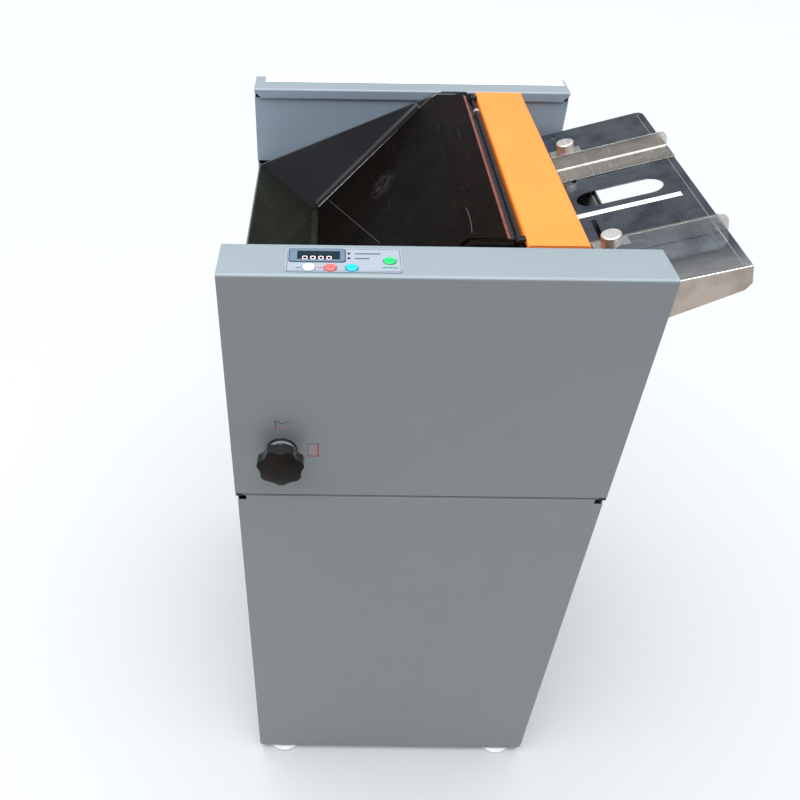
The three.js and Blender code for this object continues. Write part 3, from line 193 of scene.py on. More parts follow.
class Shader:
    """Builds one material's node tree."""

    def __init__(self, name: str) -> None:
        """Makes the material with an empty tree.

        Args:
            name: The material's name.
        """
        self.material = bpy.data.materials.new(name)
        self.material.use_nodes = True
        self.tree = self.material.node_tree
        self.tree.nodes.clear()
        self.coordinates = plant(self.tree, "ShaderNodeTexCoord").outputs["Object"]

    def wire(
        self, kind: str, settings: Settings | None = None, inputs: Inputs | None = None, output: int = 0
    ) -> Wire:
        """Adds a node and wraps one of its outputs."""
        return Wire(self, plant(self.tree, kind, settings, inputs).outputs[output])

    def place(self, stretch: Sequence[float] = (1, 1, 1), turn: Sequence[float] = (0, 0, 0)) -> Wire:
        """Scales and turns the object's coordinates about each axis."""
        inputs = {"Vector": self.coordinates, "Scale": stretch, "Rotation": turn}
        return self.wire("ShaderNodeMapping", None, inputs)

    def axis(self, index: int) -> Wire:
        """Gives one of the object's coordinates, in metres."""
        return self.wire("ShaderNodeSeparateXYZ", None, {0: self.coordinates}, index)

    def noise(
        self,
        size: float,
        detail: float = 2.0,
        stretch: Sequence[float] = (1, 1, 1),
        turn: Sequence[float] = (0, 0, 0),
    ) -> Wire:
        """Adds a noise.

        Args:
            size: The size of its blots, in millimetres.
            detail: Its levels of detail.
            stretch: How the pattern is squeezed along each axis.
            turn: Rotation round each axis, in radians.

        Returns:
            Its value from 0 to 1.
        """
        inputs = {"Vector": self.place(stretch, turn), "Scale": 1 / (size * MM), "Detail": detail}
        return self.wire("ShaderNodeTexNoise", None, inputs)

    def ramp(self, value: Wire, source: Point, result: Point = (0, 1)) -> Wire:
        """Maps one range of numbers onto another, held at its ends."""
        ends = {0: value, 1: source[0], 2: source[1], 3: result[0], 4: result[1]}
        return self.wire("ShaderNodeMapRange", {"clamp": True}, ends)

    def mix(self, share: Wire | float, first: object, second: object) -> Wire:
        """Mixes two colours or wires by the share of the second."""
        return self.wire("ShaderNodeMix", {"data_type": "RGBA"}, {0: share, 6: first, 7: second}, 2)

    def bump(self, height: Wire, strength: float, depth: float, below: Wire | None = None) -> Wire:
        """Adds a bump.

        Args:
            height: The height's pattern.
            strength: Its strength from 0 to 1.
            depth: Its depth in millimetres.
            below: A bump that it lies on.

        Returns:
            The normal.
        """
        inputs: Inputs = {"Height": height, "Strength": strength, "Distance": depth * MM}
        if below:
            inputs["Normal"] = below
        return self.wire("ShaderNodeBump", None, inputs)

    def scratches(self, turn: float, spacing: float, length: float, share: float) -> Wire:
        """Draws thin straight scratches.

        Args:
            turn: Their direction round Z, in radians.
            spacing: The distance between the streaks, in millimetres.
            length: Their length over their spacing.
            share: How few of them show, from 0.5 to 1.

        Returns:
            A mask of the scratches.
        """
        streaks = self.noise(spacing, 1.0, (1, 1 / length, 1), (0.3, turn / 2, turn))
        patches = self.noise(spacing * length, 1.0)
        return streaks.over(share, 0.02) * patches.over(0.55, 0.1)

    def finish(self, **inputs: object) -> bpy.types.Material:
        """Closes the tree with a Principled shader.

        Args:
            inputs: Its sockets, with underscores for spaces.

        Returns:
            The material.
        """
        named: Inputs = {key.replace("_", " "): value for key, value in inputs.items()}
        surface = self.wire("ShaderNodeBsdfPrincipled", None, named)
        plant(self.tree, "ShaderNodeOutputMaterial", None, {0: surface})
        return self.material


MADE: dict[str, bpy.types.Material] = {}


@dataclass(frozen=True)
class Finish:
    """A finish that is made once and shared by its pieces.

    Attributes:
        name: The material's name.
        slot: A name for the finish, which is not used.
        colour: Its main colour.
    """

    name: str
    slot: str
    colour: Colour = (0.5, 0.5, 0.5, 1)

    def draw(self, shader: Shader) -> bpy.types.Material:
        """Draws the finish in a shader and gives its material."""
        raise NotImplementedError

    def material(self) -> bpy.types.Material:
        """Gives the finish's material.

        Returns:
            The material, which is drawn the first time.
        """
        if self.name not in MADE:
            MADE[self.name] = self.draw(Shader(self.name))
        return MADE[self.name]


@dataclass(frozen=True)
class Paint(Finish):
    """Fine sprayed or powder paint with orange peel, rubbed places and dust."""

    gloss: float = 0.5
    peel: float = 0.06
    cloud: float = 0.014
    coat: float = 0.0
    grain: float = 1.4
    shine: float = 0.5

    def draw(self, shader: Shader) -> bpy.types.Material:
        """Draws the paint's clouds, rubbed places and orange peel.

        Args:
            shader: The shader that it is drawn in.

        Returns:
            The material.
        """
        clouds = shader.noise(size=170, detail=3)
        specks = shader.noise(size=0.8, detail=1).over(0.78, 0.05)
        rubbed = shader.noise(size=45, detail=4).over(0.62, 0.08)
        dark, pale = scaled(self.colour, 1 - self.cloud * 2), scaled(self.colour, 1 + self.cloud * 2)
        base = shader.mix(shader.ramp(clouds, (0.3, 0.7)), dark, pale)
        base = shader.mix(specks * 0.1, base, (0.9, 0.9, 0.9, 1))
        rough = shader.ramp(clouds, (0.3, 0.7), (self.gloss - 0.03, self.gloss + 0.05)) + rubbed * 0.06
        scuffs = shader.scratches(turn=0.7, spacing=1.2, length=60, share=0.72)
        peel = shader.bump(shader.noise(self.grain), strength=self.peel * 4, depth=0.05)
        return shader.finish(
            Base_Color=base,
            Roughness=rough,
            Normal=shader.bump(scuffs, strength=0.1, depth=-0.02, below=peel),
            Specular_IOR_Level=self.shine,
            Coat_Weight=self.coat,
            Coat_Roughness=0.2,
        )


@dataclass(frozen=True)
class Metal(Finish):
    """Rolled, ground or brushed metal with streaks, smudges and fine specks.

    Attributes:
        dark: The colour of its smudges, which on the tray is partly a painted dark reflection.
        gloss: Its middle roughness.
        streak: How its streaks are squeezed along each axis.
        smudge: How much rougher a smudge is.
        wave: Strength of the sheet's waviness.
        pale: Where along Y its painted reflection starts to turn pale, and where it is pale, in
            millimetres.
    """

    dark: Colour = (0.4, 0.4, 0.4, 1)
    gloss: float = 0.25
    streak: tuple[float, float, float] = (1, 30, 30)
    smudge: float = 0.1
    wave: float = 0.0
    pale: Point | None = None

    def draw(self, shader: Shader) -> bpy.types.Material:
        """Draws the metal's streaks, smudges and scratches.

        Args:
            shader: The shader that it is drawn in.

        Returns:
            The material.
        """
        streaks = shader.noise(size=30, detail=3, stretch=self.streak)
        smudges = shader.ramp(shader.noise(size=38, detail=4), (0.42, 0.68))
        specks = shader.noise(size=1.1, detail=1).over(0.74, 0.04)
        scratches = shader.scratches(turn=1.1, spacing=0.9, length=50, share=0.7)
        base = shader.mix(smudges * 0.6 + streaks * 0.4, self.colour, self.dark)
        # Painted reflection: the metal turns pale towards one end along Y, with a pale bluish grain.
        if self.pale:
            dark_end, pale_end = (edge * MM for edge in self.pale)
            near = shader.ramp(shader.axis(1), (pale_end, dark_end), (1, 0))
            base = shader.mix(near * (0.75 + streaks * 0.4), base, tone(228, 226, 224))
            grain = shader.noise(size=2.4, detail=3).over(0.6, 0.16)
            base = shader.mix(grain * 0.3, base, tone(190, 196, 204))
        base = shader.mix(specks * 0.25, base, (0.9, 0.88, 0.84, 1))
        rough = shader.ramp(streaks, (0.3, 0.7), (self.gloss * 0.75, self.gloss * 1.2))
        rough = rough + smudges * self.smudge + scratches * 0.2
        brushed = shader.bump(streaks, strength=0.08, depth=0.05)
        normal = shader.bump(scratches, strength=0.2, depth=-0.01, below=brushed)
        if self.wave:
            normal = shader.bump(shader.noise(size=55, detail=1), self.wave, depth=1, below=normal)
        return shader.finish(Base_Color=base, Metallic=1.0, Roughness=rough, Normal=normal)


@dataclass(frozen=True)
class Scratch:
    """One scratch along Y, in the object's millimetres.

    Attributes:
        offset: How far it lies to the left of the origin.
        lean: How far it drifts to the left for each step along Y.
        bow: Its curvature away from its middle.
        middle: Where along Y its bow has its middle.
        ends: Where along Y it starts and ends.
        fades: How softly it starts and ends.
        width: Half of its width.
        share: How strongly it shows.
        blur: How soft its sides are.
    """

    offset: float
    lean: float
    bow: float
    middle: float
    ends: Point
    fades: Point
    width: float
    share: float
    blur: float = 0.2

    def draw(self, shader: Shader) -> Wire:
        """Draws the scratch.

        Args:
            shader: The shader that it is drawn in.

        Returns:
            Its mask.
        """
        along = shader.axis(1)
        away = along - self.middle * MM
        path = shader.axis(0) + along * self.lean + away * away * (self.bow / MM) + self.offset * MM
        line = 1 - abs(path).over(self.width * MM, self.blur * MM)
        line = line * along.over(self.ends[0] * MM, self.fades[0] * MM)
        return line * (1 - along.over(self.ends[1] * MM, self.fades[1] * MM)) * self.share


LONG_SCRATCH = Scratch(130.1, 0.2585, 0.0, 0.0, (-50, 222), (4, 2), 0.4, 0.34)
BENT_SCRATCH = Scratch(21.0, 0.0, 0.002, -160.0, (-190, -132), (4, 4), 0.35, 0.6)
WIPED_PLACE = (-108.0, 103.0)
WIPED_SHARES = (60.0, 30.0)


@dataclass(frozen=True)
class Acrylic(Finish):
    """Dark tinted acrylic with handling scratches, dust and warm mottling.

    Attributes:
        warm: The colour of its mottling, which on the knob's face is a painted reflection.
        gloss: Its middle roughness.
        dust: How much its dust shows.
        shine: Its specular level.
        coat: The weight of its clear coat.
        worn: Whether it has the hump's own marks.
    """

    warm: Colour = (0.03, 0.014, 0.01, 1)
    gloss: float = 0.14
    dust: float = 0.3
    shine: float = 0.25
    coat: float = 0.0
    worn: bool = False

    def marks(self, shader: Shader) -> Wire:
        """Draws the hump's long scratch, its short bent one and a wiped spot.

        Args:
            shader: The shader that they are drawn in.

        Returns:
            A mask of the marks.
        """
        across = (shader.axis(0) - WIPED_PLACE[0] * MM) * WIPED_SHARES[0]
        along = (shader.axis(1) - WIPED_PLACE[1] * MM) * WIPED_SHARES[1]
        spot = 1 - (across * across + along * along).over(0.7, 0.5)
        wiped = spot * shader.noise(size=9, detail=3).over(0.5, 0.08)
        return LONG_SCRATCH.draw(shader) + BENT_SCRATCH.draw(shader) + wiped * 0.12

    def draw(self, shader: Shader) -> bpy.types.Material:
        """Draws the acrylic's mottling, dust and scratches.

        Args:
            shader: The shader that it is drawn in.

        Returns:
            The material.
        """
        mottle = shader.ramp(shader.noise(size=60, detail=4), (0.45, 0.7), (0, 0.6))
        dust = shader.noise(size=1.3).over(0.72, 0.03) + shader.noise(size=2.6).over(0.76, 0.02)
        fine = shader.scratches(turn=0.5, spacing=1.1, length=45, share=0.74)
        coarse = shader.scratches(turn=2.1, spacing=1.6, length=70, share=0.75)
        scratches = fine + coarse
        base = shader.mix(mottle, self.colour, self.warm)
        base = shader.mix(dust * self.dust, base, (0.16, 0.15, 0.14, 1))
        base = shader.mix(scratches * 0.08, base, (0.25, 0.26, 0.27, 1))
        if self.worn:
            base = shader.mix(self.marks(shader), base, tone(104, 98, 98))
        haze = shader.noise(size=90, detail=3)
        rough = shader.ramp(haze, (0.35, 0.65), (self.gloss * 0.6, self.gloss * 1.5)) + dust * 0.3
        return shader.finish(
            Base_Color=base,
            Roughness=rough,
            Normal=shader.bump(scratches, strength=0.06, depth=-0.01),
            Specular_IOR_Level=self.shine,
            Coat_Weight=self.coat,
            Coat_Roughness=0.08,
        )


@dataclass(frozen=True)
class Moulded(Finish):
    """Moulded plastic, rubber or film with a fine grain and worn patches."""

    worn: Colour = (0.6, 0.6, 0.6, 1)
    gloss: float = 0.4
    grain: float = 0.5
    depth: float = 0.1
    coat: float = 0.0

    def draw(self, shader: Shader) -> bpy.types.Material:
        """Draws the plastic's grain and worn patches.

        Args:
            shader: The shader that it is drawn in.

        Returns:
            The material.
        """
        patches = shader.ramp(shader.noise(size=14, detail=4), (0.45, 0.72))
        grain = shader.noise(self.grain)
        return shader.finish(
            Base_Color=shader.mix(patches * 0.7 + grain * 0.2, self.colour, self.worn),
            Roughness=shader.ramp(patches, (0, 1), (self.gloss - 0.05, self.gloss + 0.08)),
            Normal=shader.bump(grain, self.depth, 0.05),
            Coat_Weight=self.coat,
            Coat_Roughness=0.06,
        )


@dataclass(frozen=True)
class Ink(Moulded):
    """Printed ink on film or paint."""

    grain: float = 0.3
    depth: float = 0.05


@dataclass(frozen=True)
class Cap(Moulded):
    """The glossy cap of a push button."""

    gloss: float = 0.3
    depth: float = 0.08
    coat: float = 0.3


@dataclass(frozen=True)
class Lit(Finish):
    """A lit segment behind glass."""

    strength: float = 1.4

    def draw(self, shader: Shader) -> bpy.types.Material:
        """Draws the light with a little unevenness along the segment.

        Args:
            shader: The shader that it is drawn in.

        Returns:
            The material.
        """
        uneven = shader.noise(size=0.8, detail=1)
        light = shader.mix(uneven, scaled(self.colour, 0.75), self.colour)
        rough = shader.ramp(uneven, (0, 1), (0.3, 0.45))
        return shader.finish(
            Base_Color=light, Roughness=rough, Emission_Color=light, Emission_Strength=self.strength
        )


@dataclass(frozen=True)
class Board(Finish):
    """Lacquered circuit board with tracks and pads."""

    cell: float = 3.2

    def draw(self, shader: Shader) -> bpy.types.Material:
        """Draws the board's tracks and solder pads.

        Args:
            shader: The shader that it is drawn in.

        Returns:
            The material.
        """
        inputs = {"Vector": shader.place(), "Scale": 1 / (self.cell * MM)}
        cells = shader.wire("ShaderNodeTexVoronoi", {"distance": "CHEBYCHEV"}, inputs)
        tracks = abs(cells - 0.42).over(0.05, 0.02)
        pads = 1 - cells.over(0.12, 0.02)
        base = shader.mix(tracks, tone(70, 150, 80), self.colour)
        base = shader.mix(pads, base, tone(200, 200, 196))
        rough = shader.ramp(tracks, (0, 1), (0.4, 0.28))
        normal = shader.bump(tracks + pads * 2, strength=0.3, depth=0.05)
        return shader.finish(Base_Color=base, Metallic=pads * 0.9, Roughness=rough, Normal=normal)


CABINET_PAINT = Paint("cabinet_paint", "grey_paint", tone(114, 117, 118), gloss=0.48, coat=0.1)
COVER_PAINT = Paint("cover_paint", "pale_paint", tone(111, 114, 115), gloss=0.44, coat=0.2)
# The cover paint made lighter on the top flanges and lighter and bluer on the rear inner wall: painted
# light from above.
FLANGE_PAINTED_LIGHT = Paint("flange_paint", "pale_paint", tone(126, 133, 136), gloss=0.44, coat=0.2)
INNER_WALL_PAINTED_LIGHT = Paint("inner_paint", "pale_paint", tone(136, 147, 158), gloss=0.44, coat=0.2)
SEAM_SHADE = Paint("seam_shade_paint", "grey_paint", tone(84, 92, 100))
ORANGE_PAINT = Paint(
    "orange_paint", "orange_paint", tone(240, 130, 48), gloss=0.4, peel=0.05, cloud=0.02, coat=0.2
)
DARK_STEEL = Paint("dark_paint", "dark_steel", tone(46, 46, 50), peel=0.1, cloud=0.1, grain=0.9)
PLATE_BLACK = Paint(
    "trough_plate_paint", "dark_steel", tone(49, 49, 51), gloss=0.42, peel=0.1, cloud=0.08, grain=0.8
)
LEDGE_BLACK = Paint(
    "ledge_paint", "dark_steel", tone(70, 70, 71), gloss=0.36, peel=0.2, cloud=0.1, coat=0.1, grain=0.7
)
SLOT_BAR = Paint(
    "slot_bar_paint", "dark_steel", tone(66, 70, 78), gloss=0.4, peel=0.1, cloud=0.06, shine=0.4
)
ROD_BLACK = Paint("rod_paint", "steel", tone(24, 25, 29), gloss=0.35, peel=0.1, cloud=0.06, shine=0.3)

# The tray's pale front is a painted reflection; its dark blue-grey smudges are partly smudges and partly a
# painted reflection.
TRAY_STEEL = Metal(
    "tray_steel", "stainless", tone(152, 160, 170), tone(62, 72, 84),
    gloss=0.1, streak=(1, 6, 6), wave=0.08, pale=(-160, -206),
)
# Warm beige steel on the tray's front flange: a painted reflection.
TRAY_FACE_PAINTED_REFLECTION = Metal(
    "tray_face_steel", "stainless", tone(188, 174, 162), tone(146, 134, 124), gloss=0.18, wave=0.05
)
GUIDE_STEEL = Metal(
    "guide_steel", "stainless", tone(214, 208, 202), tone(172, 166, 160),
    gloss=0.2, streak=(1, 20, 20), smudge=0.05,
)
# Near-white steel for thin lines and edge faces that stand in for painted highlights on bends and edges.
PAINTED_HIGHLIGHT_STEEL = Metal(
    "cut_steel_edge", "stainless", tone(236, 234, 228), tone(214, 212, 208),
    gloss=0.22, streak=(20, 20, 1), smudge=0.02,
)
KNURLED_STEEL = Metal(
    "thumbscrew_steel", "stainless", tone(214, 204, 196), tone(184, 174, 166),
    gloss=0.46, streak=(1, 1, 22), smudge=0.06,
)
PLAIN_STEEL = Metal(
    "zinc_steel", "steel", tone(176, 178, 180), tone(140, 142, 146),
    gloss=0.3, streak=(1, 24, 24), smudge=0.12,
)
TURNED_STEEL = Metal(
    "turned_steel", "steel", tone(190, 190, 192), tone(150, 150, 154),
    gloss=0.22, streak=(24, 1, 24), smudge=0.08,
)
SCREW_STEEL = Metal(
    "screw_steel", "steel", tone(196, 198, 200), tone(120, 122, 126), gloss=0.26, streak=(4, 4, 4)
)

SMOKED = Acrylic(
    "smoked_acrylic", "smoked_acrylic", tone(12, 8, 6), tone(20, 12, 9), 0.24, shine=0.035, worn=True
)
OLIVE = Acrylic("olive_sheet", "olive_sheet", tone(32, 33, 27), tone(42, 43, 36), 0.22, shine=0.2)
WINDOW_GLASS = Acrylic(
    "display_glass", "display_glass", tone(12, 34, 42), tone(20, 46, 54), 0.07, dust=0.1
)
KNOB_BLACK = Acrylic(
    "knob_black", "bakelite", tone(14, 12, 12), tone(34, 28, 24), 0.12, dust=0.1, shine=0.5, coat=1.0
)
# The knob's front face, whose warm mottling is a painted reflection.
KNOB_FACE_PAINTED_REFLECTION = Acrylic(
    "knob_face", "bakelite", tone(12, 9, 7), tone(44, 34, 26), 0.3, dust=0.1, shine=0.1
)

# A near-white painted glint for the acrylic's cut edges.
PAINTED_EDGE_GLINT = Moulded(
    "acrylic_cut_edge", "smoked_acrylic", tone(236, 230, 230), tone(206, 190, 188), 0.25, coat=0.4
)
# A painted reflection of the orange guard along the hump's bend over the slot.
ORANGE_REFLECTION_EDGE = Moulded(
    "acrylic_warm_edge", "smoked_acrylic", tone(126, 58, 42), tone(74, 34, 28), 0.2, 0.8, coat=0.3
)
RUBBER = Moulded("roller_rubber", "rubber", tone(26, 26, 27), tone(52, 52, 54), 0.66, depth=0.3)
BELT_RUBBER = Moulded("belt_rubber", "rubber", tone(24, 24, 24), tone(44, 44, 44), 0.7, 0.4, 0.35)
# Black rubber for the seam buffers; on the selector it is painted shade for the gap round the disc.
SEAL_RUBBER_AND_GAP_SHADE = Moulded("seal_rubber", "rubber", tone(16, 16, 17), tone(28, 28, 30), 0.75, 0.4, 0.3)
FOOT_GREY = Moulded(
    "foot_plastic", "light_plastic", tone(208, 210, 208), tone(180, 182, 182), 0.45, 0.7, 0.2
)
# White satin film; on the rear flange it stands in for a painted sheen.
STRIP_WHITE = Moulded(
    "strip_white", "white_satin", tone(236, 237, 238), tone(222, 224, 226), 0.4, 0.6, 0.08
)
LABEL_FILM = Moulded("label_film", "label_film", tone(146, 150, 157), tone(140, 144, 152), 0.36, 0.35)
BEZEL_BLUE = Moulded(
    "bezel_blue", "bezel_blue", tone(94, 110, 126), tone(82, 98, 114), 0.34, 0.4, coat=0.2
)
BEZEL_DARK = Moulded("bezel_shadow_line", "bezel_blue", tone(44, 52, 66), tone(58, 68, 82), grain=0.3)
HUB_BLACK = Moulded("selector_hub", "bakelite", tone(16, 22, 28), tone(34, 44, 52), 0.3, coat=0.3)
RING_GREY = Moulded(
    "selector_ring_grey", "light_plastic", tone(196, 199, 198), tone(178, 182, 182), 0.34, depth=0.12
)
BLACK_PLASTIC = Moulded(
    "black_plastic", "black_plastic", tone(24, 24, 26), tone(40, 40, 43), 0.42, depth=0.25
)
SWITCH_GREY = Moulded(
    "switch_grey", "light_plastic", tone(150, 152, 154), tone(132, 134, 138), depth=0.15
)

TICK_GREY = Ink("tick_ink", "white_satin", tone(96, 98, 104), tone(120, 122, 126), 0.45)
LABEL_LINE = Ink("label_line_ink", "label_film", tone(76, 86, 102), tone(66, 76, 92))
LABEL_DARK = Ink("label_dark_ink", "label_film", tone(52, 56, 70), tone(70, 74, 88))
LABEL_GREEN = Ink("label_green_ink", "label_film", tone(40, 120, 74), tone(60, 132, 90))
LABEL_RED = Ink("label_red_ink", "label_film", tone(176, 44, 52), tone(150, 40, 46))
MARK_RED = Ink("mark_red_ink", "red_button", tone(146, 30, 34), tone(124, 30, 34), 0.45)
MARK_DARK = Ink("mark_dark_ink", "black_plastic", tone(46, 34, 40), tone(70, 50, 58), 0.5)
MARK_PINK = Ink("mark_pink_ink", "red_button", tone(164, 110, 118), tone(150, 100, 108), 0.45)

WHITE_CAP = Cap("white_button", "white_button", tone(238, 240, 240), tone(224, 226, 228))
RED_CAP = Cap("red_button", "red_button", tone(248, 98, 92), tone(232, 84, 80))
BLUE_CAP = Cap("blue_button", "blue_button", tone(10, 180, 226), tone(4, 160, 210))
GREEN_CAP = Cap("green_button", "green_button", tone(10, 200, 92), tone(6, 180, 80))
DIGIT_LIGHT = Lit("digit_light", "display_glass", tone(255, 214, 216))
CIRCUIT = Board("circuit_board", "board_green", tone(16, 84, 44))


@dataclass(frozen=True)
class Place:
    """Turns the machine's own measures into the row frame.

    Attributes:
        corner: The front upper cover's left front corner, in metres.
        feed_x: Where the tray's plane starts, in millimetres from the cabinet's left.
        feed_z: Its height there.
        slope: The tray's rise, in radians.
    """

    corner: Vector
    feed_x: float = 392.0
    feed_z: float = 960.8
    slope: float = math.radians(15.84)

    def at(self, x: float, y: float, z: float) -> Vector:
        """Gives the place of a point in millimetres from the cabinet's left, face and floor."""
        return Vector((self.corner.x + x * MM, self.corner.y + y * MM, z * MM))

    def own(self, node: str) -> tuple[Vector, Vector]:
        """Gives a node's box in the machine's own millimetres."""
        low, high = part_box(node)
        return (low - self.corner) / MM, (high - self.corner) / MM

    def frame(self, x: float, y: float, z: float, across: Sequence[float], up: Sequence[float]) -> Matrix:
        """Gives a frame at a point whose first two axes lie along the given directions.

        Args:
            x: The point's place from the left, in millimetres.
            y: Its place from the face.
            z: Its height.
            across: The frame's first axis.
            up: The frame's second axis.

        Returns:
            A matrix from the frame's millimetres to metres.
        """
        first = Vector(across).normalized()
        second = Vector(up).normalized()
        turn = Matrix((first, second, first.cross(second))).transposed().to_4x4()
        return Matrix.Translation(self.at(x, y, z)) @ turn @ MILLIMETRES

    def flat(self, z: float) -> Matrix:
        """Gives a level frame at a height, whose axes are the machine's own."""
        return self.frame(0, 0, z, (1, 0, 0), (0, 1, 0))

    def facing(self, y: float, x: float = 0, z: float = 0) -> Matrix:
        """Gives an upright frame on a plane that faces the operator."""
        return self.frame(x, y, z, (1, 0, 0), (0, 0, 1))

    def along(self, y: float, x: float = 0, z: float = 0) -> Matrix:
        """Gives a frame whose first axis is up, second to the right and third to the rear."""
        return self.frame(x, y, z, (0, 0, 1), (1, 0, 0))

    def feed(self, w: float = 0) -> Matrix:
        """Gives the frame of the tray's sloping plane.

        Args:
            w: The frame's height over the plane, in millimetres.

        Returns:
            A matrix from the frame's millimetres to metres.
        """
        run, rise = math.cos(self.slope), math.sin(self.slope)
        return self.frame(self.feed_x - w * rise, 0, self.feed_z + w * run, (run, 0, rise), (0, 1, 0))


def circle(middle: Point, radius: float, steps: int) -> list[Point]:
    """Gives a circle's points, counter-clockwise."""
    turns = [math.tau * i / steps for i in range(steps)]
    return [(middle[0] + radius * math.cos(a), middle[1] + radius * math.sin(a)) for a in turns]


def rounded(left: float, bottom: float, right: float, top: float, radius: float) -> list[Point]:
    """Gives a rounded rectangle's points, counter-clockwise.

    Args:
        left: Its left side.
        bottom: Its lower side.
        right: Its right side.
        top: Its upper side.
        radius: The radius of its corners, or zero for sharp ones.

    Returns:
        The points.
    """
    if radius <= 0:
        return [(left, bottom), (right, bottom), (right, top), (left, top)]
    middles = [(right - radius, top - radius), (left + radius, top - radius)]
    middles += [(left + radius, bottom + radius), (right - radius, bottom + radius)]
    points: list[Point] = []
    for quarter, (x, y) in enumerate(middles):
        for step in range(5):
            angle = math.pi / 2 * (quarter + step / 4)
            points.append((x + radius * math.cos(angle), y + radius * math.sin(angle)))
    return points


def stroke(start: Point, end: Point, width: float, inset: float = 0.0) -> list[Point]:
    """Gives a straight stroke's four corners.

    Args:
        start: Where it starts.
        end: Where it ends.
        width: Its width, by half of which it is longer at each end.
        inset: How much it is shortened at each end.

    Returns:
        The corners.
    """
    along = (Vector(end) - Vector(start)).normalized()
    reach = along * (width / 2 - inset)
    side = Vector((-along.y, along.x)) * (width / 2)
    a, b = Vector(start) - reach, Vector(end) + reach
    return [tuple(a - side), tuple(b - side), tuple(b + side), tuple(a + side)]


def mesh_of(name: str, points: Iterable[Sequence[float]], faces: Iterable[Sequence[int]]) -> bpy.types.Mesh:
    """Makes a mesh from points and faces.

    Args:
        name: The mesh's name.
        points: Its corners.
        faces: The corners' numbers for each face.

    Returns:
        The mesh.
    """
    mesh = bpy.data.meshes.new(name)
    mesh.from_pydata([tuple(point) for point in points], [], [tuple(face) for face in faces])
    mesh.update()
    return mesh


def plates(
    name: str,
    outlines: Iterable[Sequence[Point]],
    thickness: float,
    frame: Matrix,
    holes: Sequence[Sequence[Point]] = (),
) -> bpy.types.Mesh:
    """Makes flat plates of one thickness.

    Args:
        name: The mesh's name.
        outlines: Each plate's outline in the frame.
        thickness: How far it rises along the frame's third axis.
        frame: The frame that it lies in.
        holes: Openings through the first plate.

    Returns:
        The mesh in the row frame.
    """
    work = bmesh.new()
    for index, outline in enumerate(outlines):
        rings = [outline, *holes] if index == 0 else [outline]
        edges = []
        for ring in rings:
            corners = [work.verts.new((x, y, 0)) for x, y in ring]
            edges += [work.edges.new((a, b)) for a, b in zip(corners, corners[1:] + corners[:1])]
        found = bmesh.ops.triangle_fill(work, use_beauty=True, use_dissolve=False, edges=edges)
        faces = [item for item in found["geom"] if isinstance(item, bmesh.types.BMFace)]
        raised = bmesh.ops.extrude_face_region(work, geom=faces, use_keep_orig=True)["geom"]
        lifted = [item for item in raised if isinstance(item, bmesh.types.BMVert)]
        bmesh.ops.translate(work, verts=lifted, vec=(0, 0, thickness))
    bmesh.ops.remove_doubles(work, verts=work.verts, dist=OUTLINE_WELD)
    bmesh.ops.recalc_face_normals(work, faces=work.faces)
    work.transform(frame)
    mesh = bpy.data.meshes.new(name)
    work.to_mesh(mesh)
    work.free()
    return mesh


def turned(name: str, profile: Sequence[Point], frame: Matrix, steps: int) -> bpy.types.Mesh:
    """Turns a profile round the frame's third axis.

    Args:
        name: The mesh's name.
        profile: Radius and height, either from the axle to the axle or round to the start.
        frame: The frame whose third axis is the axle.
        steps: Segments round the axle.

    Returns:
        The closed mesh in the row frame.
    """
    points: list[tuple[float, float, float]] = []
    rings: list[list[int]] = []
    for radius, height in profile:
        start = len(points)
        if radius <= 0:
            points.append((0, 0, height))
            rings.append([start] * steps)
            continue
        points += [(x, y, height) for x, y in circle((0, 0), radius, steps)]
        rings.append(list(range(start, start + steps)))
    faces = []
    for low, high in zip(rings, rings[1:]):
        for i in range(steps):
            j = (i + 1) % steps
            kept = list(dict.fromkeys((low[i], low[j], high[j], high[i])))
            if len(kept) > 2:
                faces.append(kept)
    mesh = mesh_of(name, points, faces)
    mesh.transform(frame)
    return mesh


def tube(name: str, path: Sequence[Vector], radius: float, frame: Matrix = MILLIMETRES) -> bpy.types.Mesh:
    """Sweeps a round section along a path.

    Args:
        name: The mesh's name.
        path: Its points in the frame.
        radius: The section's radius.
        frame: The frame of the path.

    Returns:
        The closed mesh in the row frame.
    """
    curve = bpy.data.curves.new(name, "CURVE")
    curve.dimensions = "3D"
    curve.bevel_depth = radius
    curve.bevel_resolution = 2
    curve.use_fill_caps = True
    line = curve.splines.new("POLY")
    line.points.add(len(path) - 1)
    for point, place in zip(line.points, path):
        point.co = (*place, 1)
    holder = bpy.data.objects.new(name, curve)
    mesh = bpy.data.meshes.new_from_object(holder)
    bpy.data.objects.remove(holder)
    bpy.data.curves.remove(curve)
    mesh.transform(frame)
    return mesh


def joined(name: str, meshes: Sequence[bpy.types.Mesh]) -> bpy.types.Mesh:
    """Joins meshes of one finish into one whose faces look outwards.

    Args:
        name: The result's name.
        meshes: The meshes, which are used up.

    Returns:
        The joined mesh.
    """
    work = bmesh.new()
    for mesh in meshes:
        work.from_mesh(mesh)
        bpy.data.meshes.remove(mesh)
    bmesh.ops.recalc_face_normals(work, faces=work.faces)
    result = bpy.data.meshes.new(name)
    work.to_mesh(result)
    work.free()
    return result


def soften(thing: bpy.types.Object, ease: float) -> None:
    """Rounds a piece's edges and smooths its shading.

    Args:
        thing: The piece.
        ease: The rounding's width in millimetres, or none at zero.
    """
    mesh = thing.data
    mesh.polygons.foreach_set("use_smooth", [True] * len(mesh.polygons))
    mesh.set_sharp_from_angle(angle=SMOOTH_ANGLE)
    if ease:
        bevel = thing.modifiers.new("eased_edges", "BEVEL")
        bevel.width = ease * MM
        bevel.segments = 2
        bevel.limit_method = "ANGLE"
        bevel.angle_limit = BEVEL_ANGLE
        bevel.use_clamp_overlap = True
    even = thing.modifiers.new("even_normals", "WEIGHTED_NORMAL")
    even.keep_sharp = True


